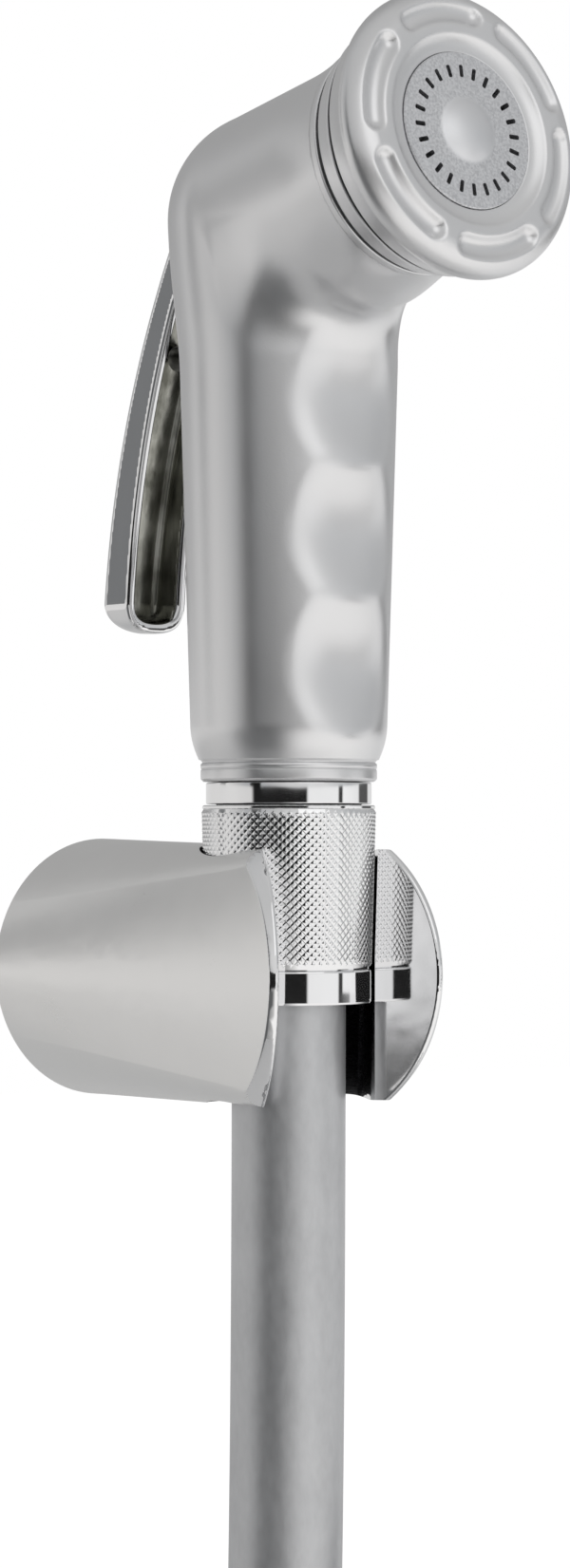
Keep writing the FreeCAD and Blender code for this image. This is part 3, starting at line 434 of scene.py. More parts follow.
@dataclass(frozen=True)
class PaintedShadeChrome:
    """Chrome for the inside of a channel: darkened with painted shade, and drawn out in streaks along the part."""

    name: str = "painted_shade_chrome"
    # Both tones sit far below bright chrome: painted shade for the dark inside of the channel.
    light: Point = (0.44, 0.44, 0.40)
    dark: Point = (0.13, 0.13, 0.11)
    roughness: float = 0.16
    streaks: Grain = Grain(1.5, 3.0, (1.0, 1.0, 0.12))
    patches: Grain = Grain(4.0, 3.0)
    streak_share: float = 0.65
    contrast: Tuple[float, float] = (0.38, 0.62)
    dulling: float = 0.1
    relief: float = 0.02

    def make(self) -> bpy.types.Material:
        """Build the material.

        Returns:
            The material.
        """
        maker = MaterialMaker(self.name)
        streak = maker.noise(self.streaks)
        patch = maker.noise(self.patches)
        mixed = self.streak_share * streak + (1 - self.streak_share) * patch
        colour = maker.tint(self.dark, self.light, maker.spread(mixed, *self.contrast))
        rough = self.roughness + self.dulling * patch
        normal = maker.bump(streak, self.relief)
        return maker.finish(Base_Color=colour, Metallic=1.0, Roughness=rough, Normal=normal)


@dataclass(frozen=True)
class PlainMetal:
    """Turned or plated metal with a fine lay of tool marks."""

    name: str
    colour: Point
    roughness: float
    cloud_share: float = 0.82
    clouds: Grain = Grain(4.0)
    marks: Grain = Grain(0.5, 3.0, (0.3, 0.3, 6.0))
    dulling: float = 0.10
    relief: float = 0.01

    def make(self) -> bpy.types.Material:
        """Build the material.

        Returns:
            The material.
        """
        maker = MaterialMaker(self.name)
        lay = maker.noise(self.marks)
        colour = maker.shade(self.colour, self.cloud_share, maker.noise(self.clouds))
        rough = self.roughness + self.dulling * lay
        return maker.finish(Base_Color=colour, Metallic=1.0, Roughness=rough, Normal=maker.bump(lay, self.relief))


@dataclass(frozen=True)
class Moulded:
    """Moulded plastic or rubber with a faint skin texture."""

    name: str
    colour: Point
    roughness: float
    cloud_share: float = 0.85
    clouds: Grain = Grain(6.0)
    pores: Grain = Grain(0.4, 3.0)
    dulling: float = 0.12
    relief: float = 0.01

    def make(self) -> bpy.types.Material:
        """Build the material.

        Returns:
            The material.
        """
        maker = MaterialMaker(self.name)
        skin = maker.noise(self.pores)
        colour = maker.shade(self.colour, self.cloud_share, maker.noise(self.clouds))
        rough = self.roughness + self.dulling * skin
        return maker.finish(Base_Color=colour, Roughness=rough, Normal=maker.bump(skin, self.relief))


@dataclass(frozen=True)
class HoseSleeve:
    """Silver-grey hose: metallic pigment in a soft sleeve, finely mottled."""

    name: str = "hose_sleeve"
    light: Point = (0.69, 0.695, 0.705)
    dark: Point = (0.46, 0.465, 0.475)
    metal: float = 0.85
    roughness: float = 0.34
    mottles: Grain = Grain(1.1, 4.0, (1.0, 1.0, 0.5))
    clouds: Grain = Grain(7.0)
    mottle_share: float = 0.6
    dulling: float = 0.14
    relief: Tuple[float, float] = (0.05, 0.5)

    def make(self) -> bpy.types.Material:
        """Build the material.

        Returns:
            The material.
        """
        maker = MaterialMaker(self.name)
        mottle = maker.noise(self.mottles)
        mixed = self.mottle_share * mottle + (1 - self.mottle_share) * maker.noise(self.clouds)
        colour = maker.tint(self.dark, self.light, mixed)
        rough = self.roughness + self.dulling * mottle
        normal = maker.bump(mottle, *self.relief)
        return maker.finish(Base_Color=colour, Metallic=self.metal, Roughness=rough, Normal=normal)


class Finishes:
    """All materials of the object: one for each slot, and four that single faces or pieces take."""

    def __init__(self) -> None:
        """Build every material once."""
        self.by_slot: Dict[Slot, bpy.types.Material] = {
            Slot.SATIN_CHROME: SatinChrome().make(),
            Slot.BRIGHT_CHROME: BrightChrome().make(),
            Slot.BRASS: PlainMetal("brass", (0.72, 0.55, 0.30), 0.25).make(),
            Slot.STEEL: PlainMetal("steel", (0.58, 0.58, 0.58), 0.28).make(),
            Slot.ZINC: PlainMetal("zinc", (0.50, 0.51, 0.52), 0.40).make(),
            Slot.RUBBER: Moulded("rubber", (0.03, 0.03, 0.03), 0.6).make(),
            Slot.HOSE_SLEEVE: HoseSleeve().make(),
            Slot.WHITE_PLASTIC: Moulded("white_plastic", (0.75, 0.75, 0.73), 0.35).make(),
            Slot.STRAP: Moulded("strap", (0.05, 0.05, 0.05), 0.5).make(),
        }
        self.blasted = BlastedChrome().make()
        self.cast_satin = SatinChrome("cast_satin_chrome", (0.90, 0.895, 0.885), (0.85, 0.845, 0.835), 0.24).make()
        # Darker streaked chrome for the lever's channel: painted shade.
        self.painted_channel_shade = PaintedShadeChrome().make()
        # Near-black metal for the bracket's seat: painted shade for the dark recess.
        self.painted_seat_shade = PlainMetal("painted_seat_shade", (0.10, 0.10, 0.105), 0.22).make()

    def dress(self, piece: bpy.types.Object, slot: Slot, *others: bpy.types.Material) -> None:
        """Give a piece its finish.

        Args:
            piece: the piece.
            slot: the slot of its finish.
            others: materials for single faces, after the slot's own.
        """
        piece.data.materials.clear()
        for material in (self.by_slot[slot], *others):
            piece.data.materials.append(material)


# Modelling tools


def deselect_all() -> None:
    """Leave edit mode and deselect everything, because an operator acts on all that is selected."""
    active = bpy.context.object
    if active is not None and active.mode != "OBJECT":
        bpy.ops.object.mode_set(mode="OBJECT")
    bpy.ops.object.select_all(action="DESELECT")


def pick(*pieces: bpy.types.Object) -> None:
    """Select only these pieces, with the first one active.

    Args:
        pieces: the pieces.
    """
    deselect_all()
    for piece in pieces:
        piece.select_set(True)
    bpy.context.view_layer.objects.active = pieces[0]


@contextmanager
def editing(piece: bpy.types.Object, kind: str = "", mask: Optional[Sequence[bool]] = None) -> Iterator[None]:
    """Open a piece in edit mode with all or some of it selected, and leave edit mode afterwards.

    Args:
        piece: the piece.
        kind: VERT, EDGE or FACE, where only some of them are selected.
        mask: one value for each of them, in the mesh's order.

    Returns:
        Nothing for the block that it is used with.
    """
    pick(piece)
    bpy.ops.object.mode_set(mode="EDIT")
    bpy.ops.mesh.select_all(action="SELECT")
    if kind:
        bpy.ops.mesh.select_mode(type=kind)
        bpy.ops.mesh.select_all(action="DESELECT")
        bpy.ops.object.mode_set(mode="OBJECT")
        parts = {"VERT": piece.data.vertices, "EDGE": piece.data.edges, "FACE": piece.data.polygons}[kind]
        parts.foreach_set("select", mask)
        bpy.ops.object.mode_set(mode="EDIT")
    yield
    bpy.ops.object.mode_set(mode="OBJECT")


def apply_modifier(piece: bpy.types.Object, kind: str, **settings: Any) -> None:
    """Add a modifier to a piece and apply it.

    Args:
        piece: the piece.
        kind: the modifier's type.
        settings: its settings.
    """
    pick(piece)
    bpy.ops.object.modifier_add(type=kind)
    modifier = piece.modifiers[-1]
    for key, value in settings.items():
        setattr(modifier, key, value)
    bpy.ops.object.modifier_apply(modifier=modifier.name)


def corners_of(piece: bpy.types.Object) -> np.ndarray:
    """Vertex places of a piece.

    Args:
        piece: the piece, at the origin and unturned.

    Returns:
        One row for each vertex, in millimetres.
    """
    places = np.empty(3 * len(piece.data.vertices))
    piece.data.vertices.foreach_get("co", places)
    return places.reshape(-1, 3) / MM


def edge_ends(piece: bpy.types.Object) -> np.ndarray:
    """Vertex numbers of a piece's edges.

    Args:
        piece: the piece.

    Returns:
        One row of two for each edge.
    """
    ends = np.empty(2 * len(piece.data.edges), dtype=np.int64)
    piece.data.edges.foreach_get("vertices", ends)
    return ends.reshape(-1, 2)


def rising_edges(piece: bpy.types.Object, rise: float = 1.0) -> np.ndarray:
    """Find the edges that run upwards.

    Args:
        piece: the piece.
        rise: the least height between their ends.

    Returns:
        One true or false for each edge.
    """
    heights = corners_of(piece)[:, 2][edge_ends(piece)]
    return np.abs(heights[:, 0] - heights[:, 1]) > rise


def move_corners(piece: bpy.types.Object, places: np.ndarray) -> None:
    """Give a piece's vertices new places.

    Args:
        piece: the piece.
        places: one row for each vertex, in millimetres.
    """
    piece.data.vertices.foreach_set("co", (places * MM).ravel())
    piece.data.update()


def bevel(width: float, rows: int, clamp: bool = False) -> None:
    """Round the edges that are selected in edit mode.

    Args:
        width: width of the rounding.
        rows: faces across it.
        clamp: whether it stops short of a neighbour's.
    """
    bpy.ops.mesh.bevel(offset=width * MM, offset_type="OFFSET", segments=rows, profile=0.5, affect="EDGES",
                       clamp_overlap=clamp)


def finish_normals(piece: bpy.types.Object, degrees: float = 30.0, recalculate: bool = True,
                   weighted: bool = True) -> None:
    """Merge doubles, turn faces outwards and shade smoothly up to an angle.

    Args:
        piece: the piece.
        degrees: sharper edges stay sharp.
        recalculate: whether to turn the faces outwards.
        weighted: whether large faces keep their own normals beside small roundings.
    """
    with editing(piece):
        bpy.ops.mesh.remove_doubles(threshold=MERGE * MM)
        if recalculate:
            bpy.ops.mesh.normals_make_consistent(inside=False)
    bpy.ops.object.shade_smooth_by_angle(angle=math.radians(degrees))
    if weighted:
        apply_modifier(piece, "WEIGHTED_NORMAL", mode="FACE_AREA", keep_sharp=True)


def arc(start: Spot, end: Spot, radius: float, count: int) -> List[Spot]:
    """Points of an arc between two profile points, without its start.

    Args:
        start: first (radius, height).
        end: last (radius, height).
        radius: the arc's radius, bulging to the right of the way, or negative for the left.
        count: number of steps.

    Returns:
        The points.
    """
    way = Vector((end[0] - start[0], end[1] - start[1]))
    half = way.length / 2
    rise = math.sqrt(max(radius * radius - half * half, 0.0))
    side = math.copysign(1.0, radius)
    left = Vector((-way.y, way.x)).normalized() * side
    centre = Vector(start) + way / 2 + left * rise
    first = math.atan2(start[1] - centre.y, start[0] - centre.x)
    turn = 2 * math.asin(min(1.0, half / abs(radius))) * side
    points = []
    for step in range(1, count + 1):
        angle = first + turn * step / count
        points.append((centre.x + abs(radius) * math.cos(angle), centre.y + abs(radius) * math.sin(angle)))
    return points


def extrude_up(height: float) -> None:
    """Extrude the edges that are selected in edit mode along Z.

    Args:
        height: how far.
    """
    bpy.ops.mesh.extrude_edges_move(TRANSFORM_OT_translate={"value": (0, 0, height * MM)})


def turned(name: str, profile: Profile, soft: float = 0.0, steps: int = 96, rows: int = 2,
           closed: bool = True, corner: float = 18.0) -> bpy.types.Object:
    """Turn a profile: a circle is extruded and scaled from point to point.

    Args:
        name: the piece's name.
        profile: (radius, height) points; a closed one returns to its first point by itself.
        soft: rounding of its corners.
        steps: faces round the axis.
        rows: faces across each rounding.
        closed: whether the profile is a loop.
        corner: the least turn of the profile, in degrees, that counts as a corner.

    Returns:
        The piece, round the Z axis.
    """
    points = list(profile)
    if closed and points[0][0] > 0:
        points.append(points[0])
    first = 1 if points[0][0] <= 0 else 0
    before = points[first]
    deselect_all()
    bpy.ops.mesh.primitive_circle_add(vertices=steps, radius=before[0] * MM, location=(0, 0, 0))
    piece = bpy.context.object
    piece.name = name
    with editing(piece, "VERT", [True] * steps):
        bpy.ops.transform.translate(value=(0, 0, before[1] * MM))
        if first:
            extrude_up(points[0][1] - before[1])
            bpy.ops.mesh.merge(type="CENTER")
    off_axis = np.hypot(*corners_of(piece)[:, :2].T) > TINY
    with editing(piece, "VERT", off_axis):
        for point in points[first + 1:]:
            extrude_up(point[1] - before[1])
            if point[0] <= 0:
                bpy.ops.mesh.merge(type="CENTER")
                break
            scale = point[0] / before[0]
            bpy.ops.transform.resize(value=(scale, scale, 1.0), center_override=(0, 0, 0))
            before = point
    if soft > 0:
        soften_corners(piece, points, soft, rows, corner)
    finish_normals(piece, 40.0, closed or first == 1)
    return piece


def soften_corners(piece: bpy.types.Object, points: Profile, soft: float, rows: int, corner: float) -> None:
    """Round the corners of a turned piece.

    Args:
        piece: the piece.
        points: its profile.
        soft: width of the rounding.
        rows: faces across it.
        corner: the least turn, in degrees, that counts as a corner.
    """
    with editing(piece):
        bpy.ops.mesh.remove_doubles(threshold=MERGE * MM)
    places = corners_of(piece)
    spots = np.stack([np.hypot(places[:, 0], places[:, 1]), places[:, 2]], axis=1)
    ends = edge_ends(piece)
    mask = np.zeros(len(ends), dtype=bool)
    ring = [points[-2], *points] if points[0] == points[-1] else points
    for back, here, ahead in zip(ring, ring[1:], ring[2:]):
        come = Vector(here) - Vector(back)
        go = Vector(ahead) - Vector(here)
        if min(come.length, go.length, here[0]) > 0 and math.degrees(come.angle(go)) > corner:
            near = np.hypot(*(spots - here).T) < CORNER_REACH
            mask |= near[ends].all(axis=1)
    if mask.any():
        with editing(piece, "EDGE", mask):
            bevel(soft, rows)


def rod(radius: float, length: float, matrix: Matrix, steps: int = 48) -> bpy.types.Object:
    """Round bar that starts at a frame's origin and runs along its Z axis.

    Args:
        radius: its radius.
        length: its length.
        matrix: the frame, in metres.
        steps: faces round it.

    Returns:
        The bar.
    """
    deselect_all()
    bpy.ops.mesh.primitive_cylinder_add(vertices=steps, radius=radius * MM, depth=length * MM, location=(0, 0, 0))
    piece = bpy.context.object
    piece.data.transform(matrix @ Matrix.Translation((0, 0, length * MM / 2)))
    return piece


def block(low: Point, high: Point) -> bpy.types.Object:
    """Box between two corners.

    Args:
        low: lowest corner.
        high: highest corner.

    Returns:
        The box.
    """
    deselect_all()
    bpy.ops.mesh.primitive_cube_add(size=1.0, location=(0, 0, 0))
    piece = bpy.context.object
    size = [high[axis] - low[axis] for axis in range(3)]
    middle = [(high[axis] + low[axis]) / 2 for axis in range(3)]
    piece.data.transform(Matrix.Translation(Vector(middle) * MM) @ Matrix.Diagonal((*(Vector(size) * MM), 1.0)))
    return piece


def combine(piece: bpy.types.Object, tool: bpy.types.Object, operation: str) -> None:
    """Join a tool to a piece or cut it away, and remove the tool.

    Args:
        piece: the piece, without open edges, because this solver drops a join to an open mesh.
        tool: the other closed mesh.
        operation: UNION, DIFFERENCE or INTERSECT.
    """
    apply_modifier(piece, "BOOLEAN", operation=operation, object=tool, solver="MANIFOLD")
    bpy.data.objects.remove(tool)


def join(*pieces: bpy.types.Object) -> bpy.types.Object:
    """Join pieces into the first one.

    Args:
        pieces: the pieces.

    Returns:
        The first piece.
    """
    pick(*pieces)
    bpy.ops.object.join()
    return pieces[0]


def cut_flat(piece: bpy.types.Object, place: Vector, way: Vector) -> None:
    """Cut a piece at a plane, drop what is behind it and close the cut.

    Args:
        piece: the piece.
        place: a place on the plane, in metres.
        way: the plane's normal, towards the part that stays.
    """
    with editing(piece):
        bpy.ops.mesh.bisect(plane_co=place, plane_no=way, use_fill=True, clear_inner=True, threshold=0.00001)


def remesh(piece: bpy.types.Object, size: float) -> None:
    """Rebuild a piece as an even skin.

    Args:
        piece: the piece.
        size: side of its faces.
    """
    apply_modifier(piece, "REMESH", mode="VOXEL", voxel_size=size * MM)


def slope_of(form: Distance, places: np.ndarray) -> np.ndarray:
    """Slope of a form, measured over a short way.

    Args:
        form: signed distance to the form, in millimetres.
        places: one row for each place.

    Returns:
        One row for each place, pointing away from the form.
    """
    shifts = np.eye(3) * SLOPE_STEP
    return np.stack([form(places + shift) - form(places - shift) for shift in shifts], axis=1) / (2 * SLOPE_STEP)


def settle(piece: bpy.types.Object, form: Distance, reach: float, rounds: int = 5) -> None:
    """Move a piece's skin onto an exact form, evening the faces between the steps.

    Args:
        piece: the piece.
        form: signed distance to the form, in millimetres.
        reach: a vertex farther away than this stays.
        rounds: number of steps, of which the last two leave the faces as they are.
    """
    for number in range(rounds):
        places = corners_of(piece)
        for _ in range(2):
            value = form(places)
            slope = slope_of(form, places)
            length = np.maximum((slope * slope).sum(axis=1), 0.2)
            moved = places - slope * (value / length)[:, None]
            places = np.where((np.abs(value) < reach)[:, None], moved, places)
        move_corners(piece, places)
        if number < rounds - 2:
            with editing(piece):
                bpy.ops.mesh.vertices_smooth(factor=0.5, repeat=2)


def true_normals(piece: bpy.types.Object, form: Distance) -> None:
    """Give a settled skin the normals of its form, so that a mirror finish stays calm.

    Args:
        piece: the skin.
        form: signed distance to the form.
    """
    slopes = slope_of(form, corners_of(piece))
    slopes /= np.maximum(np.linalg.norm(slopes, axis=1, keepdims=True), TINY)
    piece.data.shade_smooth()
    piece.data.normals_split_custom_set_from_vertices([tuple(slope) for slope in slopes])


def carve(piece: bpy.types.Object, groove: Distance, softness: float, deepest: float) -> None:
    """Press a groove into a piece's skin along its normals, with rounded lips.

    Args:
        piece: the piece.
        groove: signed distance to the groove's tool, negative inside.
        softness: rounding of the lips.
        deepest: the most that the skin may sink.
    """
    places = corners_of(piece)
    normals = np.empty(3 * len(places))
    piece.data.vertices.foreach_get("normal", normals)
    normals = normals.reshape(-1, 3)
    low = np.zeros(len(places))
    high = np.full(len(places), deepest)
    for _ in range(22):
        depth = (low + high) / 2
        beyond = smooth_max(-depth, -groove(places - normals * depth[:, None]), softness)
        low = np.where(beyond > 0, depth, low)
        high = np.where(beyond > 0, high, depth)
    near = groove(places) < softness
    move_corners(piece, np.where(near[:, None], places - normals * low[:, None], places))


def smooth_min(one: np.ndarray, two: np.ndarray, width: Any) -> np.ndarray:
    """Smaller of two distances, with a rounded change.

    Args:
        one: first distances.
        two: second distances.
        width: width of the rounding.

    Returns:
        The distances of both forms together.
    """
    blend = np.maximum(width - np.abs(one - two), 0.0) / width
    return np.minimum(one, two) - blend * blend * width / 4


def smooth_max(one: np.ndarray, two: np.ndarray, width: Any) -> np.ndarray:
    """Larger of two distances, with a rounded change.

    Args:
        one: first distances.
        two: second distances.
        width: width of the rounding.

    Returns:
        The distances of what both forms share.
    """
    return -smooth_min(-one, -two, width)


def round_max(one: np.ndarray, two: np.ndarray, radius: float) -> np.ndarray:
    """Larger of two distances, with a true rounding where they meet.

    Args:
        one: first distance.
        two: second distance.
        radius: radius of the rounding.

    Returns:
        The blended distance.
    """
    corner = np.hypot(np.maximum(one + radius, 0.0), np.maximum(two + radius, 0.0))
    return np.minimum(np.maximum(one, two), -radius) + corner


def smooth_step(value: np.ndarray) -> np.ndarray:
    """Ease from 0 to 1.

    Args:
        value: where, from 0 to 1 or beyond.

    Returns:
        The eased value.
    """
    held = np.clip(value, 0.0, 1.0)
    return held * held * (3 - 2 * held)


def handle_places(places: np.ndarray) -> Tuple[np.ndarray, np.ndarray, np.ndarray]:
    """Places as seen from the foot of the handle.

    Args:
        places: one row for each place, in millimetres.

    Returns:
        Their x, y and z from there.
    """
    return places[:, 0], places[:, 1] - AXIS_Y, places[:, 2] - HANDLE_Z


def to_axis(piece: bpy.types.Object, height: float) -> bpy.types.Object:
    """Move a turned piece from the origin onto the handle's axis.

    Args:
        piece: the piece.
        height: where its zero goes.

    Returns:
        The piece.
    """
    piece.data.transform(Matrix.Translation((0.0, AXIS_Y * MM, height * MM)))
    return piece


def install(piece: bpy.types.Object, finishes: Finishes, slot: Slot, body: Optional[Body], *nodes: str) -> None:
    """Dress a finished piece and put it in the place of its nodes.

    Args:
        piece: the piece.
        finishes: the materials.
        slot: its finish, for a piece that has no material yet.
        body: what it rides on, or None to leave the piece on no body.
        nodes: the nodes that it stands for.
    """
    if not any(piece.data.materials):
        finishes.dress(piece, slot)
    if body:
        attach(piece, body.value)
    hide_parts(*nodes)
    LOG.info("built %s", piece.name)


def fine_copy(frame: Dict[str, Any], node: str, name: str, angle: float = 30.0) -> bpy.types.Object:
    """Copy a node's mesh as one smooth skin, free of its body.

    Args:
        frame: the loaded frame.
        node: the node.
        name: name of the copy.
        angle: sharper edges stay sharp.

    Returns:
        The copy.
    """
    piece = frame["nodes"][node].copy()
    piece.data = piece.data.copy()
    piece.name = name
    piece.data.materials.clear()
    bpy.context.collection.objects.link(piece)
    place = piece.matrix_world.copy()
    piece.parent = None
    piece.matrix_world = place
    finish_normals(piece, angle, recalculate=False)
    return piece


def flatten_faces(piece: bpy.types.Object, degrees: float) -> None:
    """Merge a copied skin's triangles where they lie flat together.

    Args:
        piece: the piece.
        degrees: the most that they may turn.
    """
    with editing(piece):
        bpy.ops.mesh.dissolve_limited(angle_limit=math.radians(degrees), use_dissolve_boundaries=False)


def soften_sharp(piece: bpy.types.Object, width: float, degrees: float, rows: int) -> None:
    """Take the sharpness off a piece's edges.

    Args:
        piece: the piece.
        width: width of each rounding.
        degrees: the least angle of a sharp edge.
        rows: faces across a rounding.
    """
    with editing(piece):
        bpy.ops.mesh.select_mode(type="EDGE")
        bpy.ops.mesh.select_all(action="DESELECT")
        bpy.ops.mesh.edges_select_sharp(sharpness=math.radians(degrees))
        bevel(width, rows, clamp=True)
    finish_normals(piece, recalculate=False)


# Hose


@dataclass
class Hose:
    """The hose with its put-away length: a straight drop, then two tied turns."""

    finishes: Finishes
    outside: float = 15.0
    real_length_m: float = 1.2
    top: Point = (0.0, AXIS_Y, 7.35)
    drop: Sequence[Spot] = ((0.0, -50.0), (-1.3, -112.0), (-1.3, -172.0))
    coil_radius: float = 80.0
    coil_pitch: float = 15.9
    coil_lean: float = 8.0
    coil_tail: float = 22.0
    turns: int = 2
    corners_per_turn: int = 12
    smoothness: Tuple[int, int] = (10, 12)

    def coil_corner(self, degrees: float) -> Point:
        """Corner of the line that the coil's spline follows.

        Args:
            degrees: how far along the coil, from its left side downwards.

        Returns:
            The corner.
        """
        angle = math.radians(degrees)
        reach = self.coil_radius / math.cos(math.pi / self.corners_per_turn)
        step = self.coil_pitch * degrees / 360
        past_tie = max(0.0, degrees - 360 * self.turns + 180)
        step += self.coil_lean * past_tie / 180
        x, z = self.drop[-1]
        return (x + self.coil_radius - reach * math.cos(angle), self.top[1] - step, z - reach * math.sin(angle))

    def route(self) -> List[Point]:
        """Control points of the whole hose.

        Returns:
            The points, from the nut to the far end.
        """
        points = [self.top] + [(x, self.top[1], z) for x, z in self.drop]
        step = 360 / self.corners_per_turn
        for number in range(self.turns * self.corners_per_turn):
            points.append(self.coil_corner(step * (number + 0.5)))
        x, z = self.drop[-1]
        end_y = self.top[1] - self.coil_pitch * self.turns - self.coil_lean
        return points + [(x, end_y, z), (x, end_y, z - self.coil_tail)]

    def build(self) -> None:
        curve = bpy.data.curves.new("hose_line", "CURVE")
        curve.dimensions = "3D"
        curve.bevel_depth = self.outside * MM / 2
        curve.resolution_u, curve.bevel_resolution = self.smoothness
        curve.use_fill_caps = True
        spline = curve.splines.new("NURBS")
        points = self.route()
        spline.points.add(len(points) - 1)
        for spot, point in zip(spline.points, points):
            spot.co = (*(part * MM for part in point), 1.0)
        spline.order_u = 3
        spline.use_endpoint_u = True
        hose = bpy.data.objects.new("hose_line", curve)
        bpy.context.collection.objects.link(hose)
        install(hose, self.finishes, Slot.HOSE_SLEEVE, Body.HANDSET, "hose", "hose_coil")


# Studio


@dataclass(frozen=True)
class Band:
    """Ring of panels in the light tent.

    Each panel is (degrees to the right of the camera, grey, warmth). The band takes over from the one below it
    between two angles over the middle of the tent.
    """

    start: float
    full: float
    panels: Sequence[Tuple[float, float, float]]

    def stops(self) -> List[Tuple[float, Point]]:
        """Panels as a colour ramp's stops of place and colour."""
        return [(degrees / 360 + 0.5, (grey * (1 + warmth), grey, grey * (1 - warmth)))
                for degrees, grey, warmth in self.panels]


BANDS = (
    Band(-90.0, -90.0, (
        (-180, 0.46, -0.01), (-100, 0.50, 0.0), (-76, 0.50, 0.0), (-57, 0.13, -0.02), (-12, 0.12, -0.02),
        (14, 1.0, 0.01), (80, 1.0, 0.01), (130, 0.70, -0.01), (180, 0.46, -0.01),
    )),
    Band(-34.0, -24.0, (
        (-180, 0.52, 0.0), (-130, 0.54, 0.0), (-104, 0.60, 0.01), (-76, 0.62, 0.0), (-57, 0.13, -0.02),
        (-12, 0.12, -0.02), (14, 1.0, 0.01), (80, 1.0, 0.01), (130, 0.80, 0.0), (180, 0.52, 0.0),
    )),
    Band(-8.0, -6.5, (
        (-180, 0.76, 0.0), (-130, 0.76, 0.01), (-80, 0.80, 0.01), (-66, 0.80, 0.01), (-63, 0.26, -0.02),
        (-52, 0.12, -0.02), (-49, 0.015, 0.0), (24, 0.015, 0.0), (27, 0.92, 0.0), (72, 0.95, 0.0),
        (74, 0.05, 0.0), (79, 0.10, 0.0), (92, 0.30, 0.0), (95, 0.85, 0.0), (180, 0.80, 0.0),
    )),
    Band(-3.35, -3.15, (
        (-180, 0.76, 0.0), (-130, 0.75, 0.01), (-80, 0.78, 0.01), (-53, 0.72, 0.01), (-49, 0.015, 0.0),
        (24, 0.015, 0.0), (27, 0.92, 0.0), (72, 0.95, 0.0), (74, 0.05, 0.0), (79, 0.05, 0.0), (81, 1.0, 0.0),
        (112, 0.90, 0.0), (116, 0.10, 0.0), (140, 0.10, 0.0), (144, 0.80, 0.0), (180, 0.76, 0.0),
    )),
    Band(2.7, 2.9, (
        (-180, 0.40, 0.0), (-130, 0.42, 0.0), (-120, 0.68, 0.0), (-112, 0.78, 0.01), (-110, 0.20, -0.02),
        (-99, 0.20, -0.02), (-97, 0.78, 0.01), (-84, 0.64, 0.01), (-70, 0.52, 0.0), (-64, 0.46, -0.02),
        (-56, 0.44, -0.02), (-54, 0.01, 0.0), (-40, 0.01, 0.0), (-38, 0.48, -0.02), (-20, 0.56, 0.0),
        (0, 0.72, 0.0), (20, 0.76, 0.0), (52, 0.74, 0.0), (68, 0.64, -0.01), (82, 0.58, -0.02),
        (90, 0.48, -0.02), (120, 0.50, -0.01), (180, 0.40, 0.0),
    )),
    Band(14.0, 50.0, (
        (-180, 0.38, 0.0), (-125, 0.42, 0.0), (-90, 0.50, -0.01), (20, 0.60, 0.0), (90, 0.58, 0.0),
        (140, 0.50, 0.0), (180, 0.38, 0.0),
    )),
)


